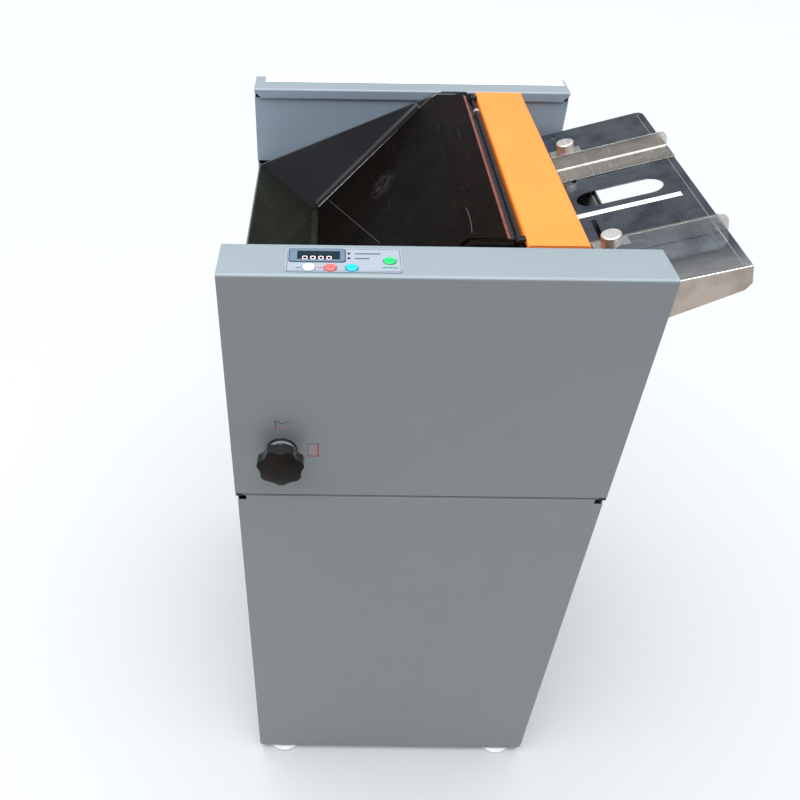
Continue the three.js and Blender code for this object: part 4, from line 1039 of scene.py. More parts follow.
def link(name: str, data: bpy.types.ID) -> bpy.types.Object:
    """Makes an object of some data and links it to the scene.

    Args:
        name: The object's name.
        data: Its mesh, light or camera.

    Returns:
        The object.
    """
    thing = bpy.data.objects.new(name, data)
    bpy.context.scene.collection.objects.link(thing)
    return thing


def add(
    mesh: bpy.types.Mesh,
    finish: Finish,
    body: Body | str = Body.CABINET,
    ease: float = 0.0,
    more: Sequence[Finish] = (),
) -> bpy.types.Object:
    """Puts a finished piece on its body.

    Args:
        mesh: Its mesh in the row frame.
        finish: Its finish.
        body: The body that carries it.
        ease: Width of its rounded edges, in millimetres.
        more: Further finishes for faces with a higher material index.

    Returns:
        The piece.
    """
    thing = link(mesh.name, mesh)
    if not mesh.materials:
        for each in (finish, *more):
            mesh.materials.append(each.material())
    soften(thing, ease)
    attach(thing, body.value if isinstance(body, Body) else body)
    log.info("piece %s on %s", thing.name, body)
    return thing


def print_on(
    name: str, outlines: Iterable[Sequence[Point]], finish: Finish, frame: Matrix, holes: Sequence = ()
) -> None:
    """Prints flat marks of one ink on the cabinet."""
    add(plates(name, outlines, INK, frame, holes), finish)


@dataclass(frozen=True)
class Accent:
    """A second finish on some faces of a piece.

    Attributes:
        finish: The faces' finish.
        pick: Tells by middle and normal whether a face has it.
    """

    finish: Finish
    pick: Callable[[Vector, Vector], bool]


@dataclass
class Dresser:
    """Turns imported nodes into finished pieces.

    Attributes:
        nodes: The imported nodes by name.
    """

    nodes: dict[str, bpy.types.Object]

    def dress(
        self, node: str, finish: Finish, ease: float = EASE, accents: Sequence[Accent] = ()
    ) -> bpy.types.Object:
        """Copies a node with clean faces, rounded edges and its finish.

        Args:
            node: The node's name.
            finish: Its main finish.
            ease: Width of its rounded edges, in millimetres.
            accents: Finishes of picked faces.

        Returns:
            The finished piece, which takes the node's place.
        """
        source = self.nodes[node]
        work = bmesh.new()
        work.from_mesh(source.data)
        bmesh.ops.remove_doubles(work, verts=work.verts, dist=WELD_DISTANCE)
        bmesh.ops.dissolve_limit(
            work, angle_limit=FLAT_ANGLE, use_dissolve_boundaries=False, verts=work.verts, edges=work.edges
        )
        mesh = bpy.data.meshes.new(f"{node}_finished")
        for face in work.faces:
            middle, normal = face.calc_center_median(), face.normal
            for index, accent in enumerate(accents, 1):
                if accent.pick(middle, normal):
                    face.material_index = index
        work.to_mesh(mesh)
        work.free()
        piece = add(mesh, finish, source["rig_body"], ease, [accent.finish for accent in accents])
        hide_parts(node)
        return piece

    def dress_all(self, nodes: Iterable[str], finish: Finish, ease: float = EASE) -> None:
        """Dresses several nodes alike."""
        for node in nodes:
            self.dress(node, finish, ease)


class Repeat:
    """A geometry tree that sets copies of a shape on points."""

    def __init__(
        self, name: str, shape: bpy.types.Mesh, finish: Finish, asked: dict[str, tuple[str, object]]
    ) -> None:
        """Makes the tree with its named inputs and its output.

        Args:
            name: The result's name.
            shape: The shape round its own origin.
            finish: The copies' finish.
            asked: Each further input's socket type and value, which is None for the points.
        """
        self.name = name
        self.holder = link(f"{shape.name}_shape", shape)
        self.holder.hide_render = True
        self.tree = bpy.data.node_groups.new(f"{name}_tree", "GeometryNodeTree")
        self.tree.interface.new_socket("Geometry", in_out="OUTPUT", socket_type="NodeSocketGeometry")
        asked["Shape"] = ("NodeSocketObject", self.holder)
        asked["Finish"] = ("NodeSocketMaterial", finish.material())
        self.values: dict[str, object] = {}
        for title, (kind, value) in asked.items():
            socket = self.tree.interface.new_socket(title, in_out="INPUT", socket_type=kind)
            if value is not None:
                self.values[socket.identifier] = value
        self.given = plant(self.tree, "NodeGroupInput").outputs

    def spread(self, points: bpy.types.NodeSocket, turn: bpy.types.NodeSocket | None = None) -> None:
        """Ends the tree with real copies of the shape in their finish.

        Args:
            points: The points that carry the copies.
            turn: The copies' rotation, if they have one.
        """
        inputs: Inputs = {"Object": self.given["Shape"], "As Instance": True}
        copy = plant(self.tree, "GeometryNodeObjectInfo", None, inputs)
        inputs = {"Points": points, "Instance": copy.outputs["Geometry"]}
        if turn:
            inputs["Rotation"] = turn
        copies = plant(self.tree, "GeometryNodeInstanceOnPoints", None, inputs)
        real = plant(self.tree, "GeometryNodeRealizeInstances", None, {0: copies.outputs[0]})
        inputs = {"Geometry": real.outputs[0], "Material": self.given["Finish"]}
        coated = plant(self.tree, "GeometryNodeSetMaterial", None, inputs)
        plant(self.tree, "NodeGroupOutput", None, {0: coated.outputs[0]})

    def make(self, places: Sequence[Vector]) -> bpy.types.Mesh:
        """Runs the tree on points.

        Args:
            places: The points that it works on.

        Returns:
            The plain mesh.
        """
        base = link(f"{self.name}_holder", mesh_of(f"{self.name}_base", places, []))
        modifier = base.modifiers.new("repeat", "NODES")
        modifier.node_group = self.tree
        for identifier, value in self.values.items():
            modifier[identifier] = value
        graph = bpy.context.evaluated_depsgraph_get()
        mesh = bpy.data.meshes.new_from_object(base.evaluated_get(graph), depsgraph=graph)
        mesh.name = self.name
        base.modifiers.remove(modifier)
        bpy.data.objects.remove(base)
        bpy.data.objects.remove(self.holder)
        return mesh


def in_row(
    name: str, shape: bpy.types.Mesh, finish: Finish, start: Vector, step: Vector, count: int
) -> bpy.types.Mesh:
    """Sets copies of a shape in a straight row.

    Args:
        name: The result's name.
        shape: The shape round its own origin.
        finish: The copies' finish.
        start: The first copy's place.
        step: The way to the next one.
        count: How many there are.

    Returns:
        The row as one mesh.
    """
    asked = {
        "Count": ("NodeSocketInt", count),
        "Start": ("NodeSocketVector", tuple(start)),
        "Step": ("NodeSocketVector", tuple(step)),
    }
    repeat = Repeat(name, shape, finish, asked)
    given = repeat.given
    inputs = {"Count": given["Count"], "Start Location": given["Start"], "Offset": given["Step"]}
    line = plant(repeat.tree, "GeometryNodeMeshLine", {"mode": "OFFSET"}, inputs)
    repeat.spread(line.outputs[0])
    return repeat.make([Vector()])


def at_points(
    name: str, shape: bpy.types.Mesh, finish: Finish, places: Sequence[Vector], turn: Point, seed: int
) -> bpy.types.Mesh:
    """Sets copies of a shape at points, each spun about its own axis by chance.

    Args:
        name: The result's name.
        shape: The shape round its own origin, looking along Z.
        finish: The copies' finish.
        places: Their places.
        turn: Their common rotation round X and Y, in radians.
        seed: The seed of the spins.

    Returns:
        The copies as one mesh.
    """
    asked = {
        "Places": ("NodeSocketGeometry", None),
        "Turn": ("NodeSocketRotation", (*turn, 0)),
        "Largest spin": ("NodeSocketFloat", math.pi),
        "Seed": ("NodeSocketInt", seed),
    }
    repeat = Repeat(name, shape, finish, asked)
    given = repeat.given
    inputs: Inputs = {3: given["Largest spin"], "Seed": given["Seed"]}
    chance = plant(repeat.tree, "FunctionNodeRandomValue", {"data_type": "FLOAT"}, inputs)
    spin = plant(repeat.tree, "ShaderNodeCombineXYZ", None, {2: chance.outputs[1]})
    inputs = {"Rotation": given["Turn"], "Rotate By": spin.outputs[0]}
    spun = plant(repeat.tree, "FunctionNodeRotateRotation", {"rotation_space": "LOCAL"}, inputs)
    repeat.spread(given["Places"], spun.outputs[0])
    return repeat.make(places)


def cross_screw(radius: float, rise: float) -> bpy.types.Mesh:
    """Makes a domed screw head with a cross recess, round its own origin.

    Args:
        radius: The head's radius in millimetres.
        rise: How far it stands proud.

    Returns:
        The mesh in metres.
    """
    hub = radius * 0.62
    arm, half = hub * 0.9, hub * 0.2
    sunk = rise * 0.4
    flank = (radius * math.cos(0.5), rise * math.sin(0.5))
    crown = [(hub, rise * 0.9), (hub * 0.98, rise * 0.95), (0, rise)]
    profile = [(0, -sunk), (radius, -sunk), (radius, 0), flank, *crown]
    head = turned("screw_head", profile, MILLIMETRES, 20)
    bars = [stroke((-arm, 0), (arm, 0), half)]
    bars += [stroke((0, side * half), (0, side * arm), half) for side in (-1, 1)]
    top = Matrix.Translation((0, 0, rise * MM)) @ MILLIMETRES
    return joined("screw", [head, plates("screw_recess", bars, INK, top)])


@dataclass
class Assembly:
    """A sub-assembly of the machine, with its sizes in millimetres.

    Attributes:
        dresser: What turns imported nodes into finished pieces.
        place: The machine's own measures in the row frame.
    """

    dresser: Dresser
    place: Place

    def build(self) -> None:
        """Builds the sub-assembly's pieces."""
        raise NotImplementedError


@dataclass
class Cabinet(Assembly):
    """The sheet-metal cabinet: panels, covers, seam, louvres and panel screws."""

    width: float = 493.0
    depth: float = 597.0
    seam: float = 702.5
    top: float = 1044.0
    flange_depth: float = 3.0
    lip_depth: float = 12.0
    lip_bottom: float = 800.0
    buffer_inset: float = 0.6
    buffer_width: float = 8.8
    buffer_heights: Point = (-1.0, 2.0)
    buffer_depth: float = 2.4
    buffer_proud: float = 0.2
    strip_inset: float = 9.6
    strip_half: float = 1.1
    strip_back: float = 1.6
    strip_depth: float = 1.0
    screw_radius: float = 4.2
    screw_rise: float = 1.5
    side_rows: tuple[float, ...] = (40.0, 330.0, 640.0)
    left_row: float = 860.0
    right_row: float = 900.0
    side_inset: float = 30.0
    side_sheet: float = 2.7
    rear_rows: tuple[float, ...] = (32.0, 350.0, 670.0, 760.0, 930.0)
    rear_inset: float = 26.0
    louvre_count: int = 9
    louvre_places: Point = (150.0, 340.0)
    louvre_bottom: float = 470.0
    louvre_pitch: float = 16.0
    louvre_half: float = 48.0
    louvre_rise: float = 2.4
    louvre_height: float = 7.0

    def build(self) -> None:
        """Builds all of the cabinet's pieces."""
        self.dress_panels()
        self.add_seam()
        self.add_screws()
        self.add_louvres()

    def dress_panels(self) -> None:
        """Gives the panels and covers their paint and rolled edges, with painted light on the covers' top
        flanges and the rear cover's inner wall.
        """
        panels = ("left_end_panel", "right_end_panel", "front_lower_panel", "rear_lower_panel")
        self.dresser.dress_all(panels, CABINET_PAINT, 0.4)
        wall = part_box("rear_upper_cover")[0].y + self.lip_depth * MM

        def on_flange(middle: Vector, normal: Vector) -> bool:
            """Tells whether a face lies on a cover's top flange."""
            return normal.z > TOWARD and middle.z > (self.top - self.flange_depth) * MM

        def on_wall(middle: Vector, normal: Vector) -> bool:
            """Tells whether a face belongs to the rear cover's inner wall or lip."""
            return normal.y < -TOWARD and middle.y < wall and middle.z > self.lip_bottom * MM

        # Painted light: lighter cover paint on the top flanges and the rear cover's inner wall.
        accents = [Accent(FLANGE_PAINTED_LIGHT, on_flange), Accent(INNER_WALL_PAINTED_LIGHT, on_wall)]
        self.dresser.dress("front_upper_cover", COVER_PAINT, 0.3, accents[:1])
        self.dresser.dress("rear_upper_cover", COVER_PAINT, 0.3, accents)
        self.dresser.dress("base_plate", PLAIN_STEEL, 0.5)

    def add_seam(self) -> None:
        """Adds a strip of painted shade behind the front seam and a rubber buffer at each end."""
        bottom, top = (self.seam + height for height in self.buffer_heights)
        ends = [
            rounded(left, bottom, left + self.buffer_width, top, 0.4)
            for left in (self.buffer_inset, self.width - self.buffer_inset - self.buffer_width)
        ]
        frame = self.place.facing(self.buffer_depth - self.buffer_proud)
        add(plates("seam_buffers", ends, self.buffer_depth, frame), SEAL_RUBBER_AND_GAP_SHADE)
        # The strip behind the seam is painted darker as the shade inside the seam's gap.
        left, right = self.strip_inset, self.width - self.strip_inset
        strip = rounded(left, self.seam - self.strip_half, right, self.seam + self.strip_half, 0)
        frame = self.place.facing(self.strip_back)
        add(plates("seam_strip", [strip], self.strip_depth, frame), SEAM_SHADE, ease=0.2)

    def add_screws(self) -> None:
        """Adds the panel screws of the ends and the back."""
        sides = {
            "left": (self.side_sheet, self.left_row, -math.pi / 2),
            "right": (self.width - self.side_sheet, self.right_row, math.pi / 2),
        }
        for side, (x, row, turn) in sides.items():
            deep = (self.side_inset, self.depth - self.side_inset)
            places = [self.place.at(x, y, z) for y in deep for z in (*self.side_rows, row)]
            self.screw_down(f"{side}_panel_screws", places, (0, turn), seed=4)
        wide = (self.rear_inset, self.width - self.rear_inset)
        places = [self.place.at(x, self.depth, z) for x in wide for z in self.rear_rows]
        self.screw_down("rear_panel_screws", places, (-math.pi / 2, 0), seed=9)

    def screw_down(self, name: str, places: Sequence[Vector], turn: Point, seed: int) -> None:
        """Sets a screw head at each place."""
        head = cross_screw(self.screw_radius, self.screw_rise)
        add(at_points(name, head, SCREW_STEEL, places, turn, seed), SCREW_STEEL)

    def add_louvres(self) -> None:
        """Adds pressed louvres to the rear lower panel in two groups."""
        half, rise, height = self.louvre_half, self.louvre_rise, self.louvre_height
        section = [(0, 0), (rise, 0.8), (rise * 0.9, 2.2), (0, height)]
        points = [(x * MM, y * MM, z * MM) for x in (-half, half) for y, z in section]
        faces = [(0, 1, 2, 3), (7, 6, 5, 4), (0, 4, 5, 1), (1, 5, 6, 2), (2, 6, 7, 3), (3, 7, 4, 0)]
        step = Vector((0, 0, self.louvre_pitch * MM))
        for index, x in enumerate(self.louvre_places):
            name = f"louvres_{index}"
            start = self.place.at(x, self.depth - 0.1, self.louvre_bottom)
            shape = mesh_of("louvre", points, faces)
            row = in_row(name, shape, CABINET_PAINT, start, step, self.louvre_count)
            add(joined(name, [row]), CABINET_PAINT, ease=0.5)


@dataclass
class Feet(Assembly):
    """The four round feet."""

    def build(self) -> None:
        """Dresses the feet."""
        nodes = [f"foot_{end}_{side}" for end in ("front", "rear") for side in ("left", "right")]
        self.dresser.dress_all(nodes, FOOT_GREY, 0.5)


@dataclass
class RearFlange(Assembly):
    """The white strip on the rear flange, which stands in for a painted sheen along it, with its division
    marks.

    Attributes:
        pitch: The distance between short marks.
        spaces: How many spaces the marks enclose.
        first: The first mark's place from the strip's left front corner.
        marks: Each kind's name, its length, its pitch over the short one's and its width.
    """

    pitch: float = 5.0
    spaces: int = 90
    first: Point = (12.0, 10.0)
    marks: tuple[tuple[str, float, int, float], ...] = (("short", 2.2, 1, 0.35), ("long", 5.5, 10, 0.5))

    def build(self) -> None:
        """Dresses the strip and prints its short and long marks."""
        low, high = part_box("rear_scale_strip")
        # The white strip is a painted sheen on the flange.
        self.dresser.dress("rear_scale_strip", STRIP_WHITE, 0.0)
        across, deep = self.first
        first = Vector((low.x + across * MM, low.y + deep * MM, high.z - SUNK * MM))
        for name, length, times, width in self.marks:
            outline = [rounded(-width / 2, -length, width / 2, 0, 0)]
            shape = plates(f"{name}_mark", outline, INK, MILLIMETRES)
            step = Vector((self.pitch * times * MM, 0, 0))
            count = self.spaces // times + 1
            row = in_row(f"strip_{name}_marks", shape, TICK_GREY, first, step, count)
            add(row, TICK_GREY)


@dataclass
class Trough(Assembly):
    """The delivery trough: its end plates, receiving plate and hinge rods.

    Attributes:
        rod: The guard rod's place from the left and over the floor.
        rod_radius: Its radius.
        collar_y: The set collar's middle.
        collar_radius: Its outer radius.
        collar_half: Half of its length.
        collar_ease: Its chamfer.
        bar_ends: Where the slot's bar starts and ends.
        bar_sides: Its lower, left, upper and right side.
        bar_round: The radius of its corners.
        lip_y: Where the lip behind the front flange starts.
        lip_depth: How far it reaches back.
        lip: Its section, as height and place from the left.
    """

    rod: Point = (338.0, 1038.0)
    rod_radius: float = 3.05
    collar_y: float = 470.0
    collar_radius: float = 5.4
    collar_half: float = 3.0
    collar_ease: float = 0.4
    bar_ends: Point = (80.2, 529.8)
    bar_sides: tuple[float, ...] = (1019.0, 333.4, 1030.5, 342.6)
    bar_round: float = 1.2
    lip_y: float = 67.2
    lip_depth: float = 12.2
    lip: tuple[Point, ...] = ((1036, 270.5), (1044.4, 279), (1045.4, 286), (1045.4, 327.6), (1036, 327.6))

    def build(self) -> None:
        """Dresses the trough's pieces and adds the rod's collar, the slot's bar and the lip."""
        self.dress_end("trough_front_plate", 1, (SMOKED, SMOKED), 0.0)
        self.dress_end("trough_rear_plate", -1, (PLATE_BLACK, LEDGE_BLACK), 0.25)
        self.dresser.dress("receiving_plate", OLIVE, 0.25)
        self.dresser.dress("hump_hinge_rod", TURNED_STEEL, 0.2)
        self.dresser.dress("guard_hinge_rod", ROD_BLACK, 0.2)
        self.add_collar()
        length = self.bar_ends[1] - self.bar_ends[0]
        section = [rounded(*self.bar_sides, self.bar_round)]
        add(plates("slot_bar", section, length, self.place.along(self.bar_ends[0])), SLOT_BAR)
        lip = plates("hump_front_lip", [self.lip], self.lip_depth, self.place.along(self.lip_y))
        add(lip, SMOKED)

    def dress_end(self, node: str, side: int, finishes: tuple[Finish, Finish], ease: float) -> None:
        """Dresses an end plate whose ledge has a finish of its own.

        Args:
            node: The end plate's name.
            side: One for the front plate and minus one for the rear plate.
            finishes: The plate's and the ledge's finish.
            ease: Width of its rounded edges, in millimetres.
        """
        low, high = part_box(node)
        inner = high.y if side > 0 else low.y

        def on_ledge(middle: Vector, normal: Vector) -> bool:
            """Tells whether a face lies on the ledge beside the hump."""
            return abs(normal.y) < 0.5 and (inner - middle.y) * side > 1 * MM and normal.z > 0.2

        self.dresser.dress(node, finishes[0], ease, [Accent(finishes[1], on_ledge)])

    def add_collar(self) -> None:
        """Adds the bright set collar near the rear end of the guard's rod."""
        bore, radius, half, ease = self.rod_radius, self.collar_radius, self.collar_half, self.collar_ease
        rim = [(radius - ease, -half), (radius, ease - half), (radius, half - ease), (radius - ease, half)]
        profile = [(bore, -half), *rim, (bore, half), (bore, -half)]
        frame = self.place.along(self.collar_y, *self.rod)
        add(turned("rod_collar", profile, frame, 28), KNURLED_STEEL)


@dataclass
class Hump(Assembly):
    """The smoked cover that lifts over the fold rollers.

    Attributes:
        bend_reach: How far the bend over the slot reaches to the left.
        bend_drop: How far it reaches down.
        line_radius: The painted glint line's radius.
        line_inset: How far it lies inside the rear end.
        glint_line: Its points in the row frame, as place along X and height.
    """

    bend_reach: float = 4.6
    bend_drop: float = 12.0
    line_radius: float = 0.6
    line_inset: float = 0.5
    glint_line: tuple[Point, ...] = ((-204.2, 856.2), (-29.9, 1044.2), (-26.0, 1045.9), (-22.4, 1046.3))

    def build(self) -> None:
        """Dresses the cover with polished faces, a painted glint on its sawn rear end and a painted orange
        reflection on the bend over the slot.
        """
        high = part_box("hump_cover")[1]

        # The sawn rear end gets a painted glint.
        def on_end(middle: Vector, normal: Vector) -> bool:
            """Tells whether a face is the slope's sawn rear end."""
            return normal.y > SQUARE and middle.y > high.y - 0.2 * MM

        # Faces on the bend over the slot get a painted reflection of the orange guard.
        def on_edge(middle: Vector, normal: Vector) -> bool:
            """Tells whether a face lies on the bend over the slot."""
            near = middle.x > high.x - self.bend_reach * MM and middle.z > high.z - self.bend_drop * MM
            return near and normal.x > 0.15

        accents = [Accent(PAINTED_EDGE_GLINT, on_end), Accent(ORANGE_REFLECTION_EDGE, on_edge)]
        self.dresser.dress("hump_cover", SMOKED, 0.3, accents)
        # A painted glint line along the slope's rear edge.
        rear = high.y / MM - self.line_inset
        line = [Vector((x, rear, z)) for x, z in self.glint_line]
        add(tube("hump_cut_line", line, self.line_radius), PAINTED_EDGE_GLINT, Body.HUMP)


@dataclass
class Guard(Assembly):
    """The orange guard over the stitching heads."""

    ear_middles: Point = (-194.0, 239.0)
    ear_half: float = 5.4
    ear_width: float = 9.5

    def build(self) -> None:
        """Dresses the guard with its dark ears."""
        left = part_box("stitching_guard")[0].x + self.ear_width * MM

        def on_ear(middle: Vector, normal: Vector) -> bool:
            """Tells whether a face belongs to one of the ears round the rod."""
            away = min(abs(middle.y - ear * MM) for ear in self.ear_middles)
            return middle.x < left and away < self.ear_half * MM

        self.dresser.dress("stitching_guard", ORANGE_PAINT, 0.4, [Accent(ROD_BLACK, on_ear)])


@dataclass
class FeedTray(Assembly):
    """The steel tray, its folds, side guides, thumbscrews and bracket.

    Attributes:
        fold_radius: The radius of the painted highlight line along the bend.
        fold: Its ends in the row frame.
        crease: The raised crease's left, front, right and rear side in the tray's plane; it carries a
            painted highlight.
        crease_depth: Its thickness, half of which stands proud.
        wall_shift: How far a guide's wall lies from its box's middle.
        wall_start: Where its edges start in the tray's plane.
        wall_end: Where the line along its foot ends.
        highlight_radius: The radius of the painted highlight tube along its top edge.
        highlight_path: Its points in the tray's plane, each with its height over it.
        flange_facing: How far forward the front flange's faces look at least.
        foot_line: The radius of the painted highlight line along the rear foot's edge, its distance from
            the wall and its height.
        screw_rings: Radii of the rings on a thumbscrew's top.
    """

    fold_radius: float = 0.9
    fold: tuple[tuple[float, ...], ...] = ((111.6, -212.1, 967.9), (298.8, -212.1, 1020.9))
    crease: tuple[float, ...] = (211.8, 78.0, 212.9, 518.0)
    crease_depth: float = 0.3
    wall_shift: float = 10.0
    wall_start: float = 54.0
    wall_end: float = 221.0
    highlight_radius: float = 0.5
    highlight_path: tuple[Point, ...] = (
        (54.0, 23.4), (211.0, 23.4), (213.7, 23.0), (216.3, 21.9),
        (218.5, 20.3), (220.1, 18.2), (221.4, 13.0),
    )
    flange_facing: float = 0.7
    foot_line: tuple[float, ...] = (0.8, 1.1, 2.3)
    screw_rings: Point = (3.2, 6.6)

    def build(self) -> None:
        """Dresses the tray and its guides."""
        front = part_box("feed_tray")[0].y + 0.3 * MM

        def on_front(middle: Vector, normal: Vector) -> bool:
            """Tells whether a face belongs to the front flange."""
            return normal.y < -self.flange_facing and middle.y < front

        # The front flange's faces get a painted reflection.
        self.dresser.dress("feed_tray", TRAY_STEEL, 0.3, [Accent(TRAY_FACE_PAINTED_REFLECTION, on_front)])
        # The bend line and the crease carry painted highlights.
        fold = [Vector(end) for end in self.fold]
        add(tube("tray_bend_line", fold, self.fold_radius), PAINTED_HIGHLIGHT_STEEL)
        frame = self.place.feed(-self.crease_depth / 2)
        crease = [rounded(*self.crease, 0)]
        add(plates("tray_crease", crease, self.crease_depth, frame), PAINTED_HIGHLIGHT_STEEL)
        self.dresser.dress("tray_strip", STRIP_WHITE, 0.0)
        self.dresser.dress("tray_bracket", PLAIN_STEEL, 0.4)
        self.dress_guide("rear", Body.REAR_GUIDE, 1)
        self.add_thumbscrew("rear", Body.REAR_SCREW)
        self.dress_guide("front", Body.FRONT_GUIDE, -1)
        self.add_thumbscrew("front", Body.FRONT_SCREW)

    def dress_guide(self, side: str, body: Body, away: int) -> None:
        """Dresses one guide with painted highlights on its top edges.

        Args:
            side: Which guide.
            body: The body that carries it.
            away: One if its wall lies toward the rear of its foot, else minus one.
        """
        node = f"{side}_guide"
        up = self.place.feed().col[2].xyz.normalized()
        corners = [vertex.co.dot(up) for vertex in self.dresser.nodes[node].data.vertices]
        edge = max(corners) - 0.6 * MM

        def on_edge(middle: Vector, normal: Vector) -> bool:
            """Tells whether a face is the wall's top edge, which is painted as a highlight."""
            return normal.dot(up) > SQUARE and middle.dot(up) > edge

        self.dresser.dress(node, GUIDE_STEEL, 0.3, [Accent(PAINTED_HIGHLIGHT_STEEL, on_edge)])
        low, high = self.place.own(node)
        wall = (low.y + high.y) / 2 + away * self.wall_shift
        self.add_edge_highlight(side, body, wall)
        if side == "rear":
            radius, off, height = self.foot_line
            foot = [Vector((u, wall - off, height)) for u in (self.wall_start, self.wall_end)]
            add(tube("rear_guide_foot_line", foot, radius, self.place.feed()), PAINTED_HIGHLIGHT_STEEL, body)
        self.dresser.dress(f"{side}_slot_nut", PLAIN_STEEL, 0.3)

    def add_edge_highlight(self, side: str, body: Body, wall: float) -> None:
        """Lays a painted highlight tube along the top edge of a guide's wall.

        Args:
            side: Which guide.
            body: The body that carries it.
            wall: The wall's middle from the cabinet's face, in millimetres.
        """
        path = [Vector((u, wall, w)) for u, w in self.highlight_path]
        add(tube(f"{side}_guide_bead", path, self.highlight_radius, self.place.feed()), PAINTED_HIGHLIGHT_STEEL, body)

    def add_thumbscrew(self, side: str, body: Body) -> None:
        """Dresses one thumbscrew and turns rings on its top.

        Args:
            side: Which thumbscrew.
            body: The body that carries it.
        """
        screw = self.dresser.dress(f"{side}_thumbscrew", KNURLED_STEEL, 0.4)
        frame = self.place.feed()
        up = frame.col[2].xyz.normalized()
        corners = [vertex.co for vertex in screw.data.vertices]
        top = max(corner.dot(up) for corner in corners) - 0.3 * MM
        rim = [corner for corner in corners if corner.dot(up) > top]
        frame.translation = sum(rim, Vector()) / len(rim)
        for index, radius in enumerate(self.screw_rings):
            foot, crest = ((radius - 0.4, -0.3), (radius + 0.4, -0.3)), (radius + 0.3, radius - 0.3)
            ring = [*foot, *((edge, INK) for edge in crest), foot[0]]
            add(turned(f"{side}_screw_ring_{index}", ring, frame, 32), SWITCH_GREY, body)


@dataclass
class Works(Assembly):
    """The mechanism under the covers: frame, heads, folding gear and drive."""

    def build(self) -> None:
        """Dresses the mechanism by material."""
        plain = ("front_side_plate", "rear_side_plate", "inner_table", "fold_knife", "head_beam")
        black = ("stitching_head_front", "stitching_head_rear", "paper_stop", "fold_roller_right")
        dress_all = self.dresser.dress_all
        dress_all(plain, PLAIN_STEEL)
        dress_all(("cam_shaft", "drive_pulley", "motor_pulley", "mode_shaft"), TURNED_STEEL, 0.2)
        dress_all(black, BLACK_PLASTIC, 0.4)
        dress_all(("stitching_frame", "drive_motor", "control_box"), DARK_STEEL, 0.5)
        dress_all(("fold_roller_left",), RUBBER, 0.2)
        dress_all(("drive_belt",), BELT_RUBBER, 0.2)
        dress_all(("mains_inlet",), BLACK_PLASTIC, 0.5)


class Button(Enum):
    """The push buttons: node, place from the cabinet's left and face, and cap."""

    START = ("button_start_white", 98.9, 14.8, WHITE_CAP)
    STOP = ("button_stop_red", 122.1, 14.8, RED_CAP)
    COUNT = ("button_count_blue", 145.2, 14.8, BLUE_CAP)
    GO = ("button_go_green", 186.5, 29.6, GREEN_CAP)


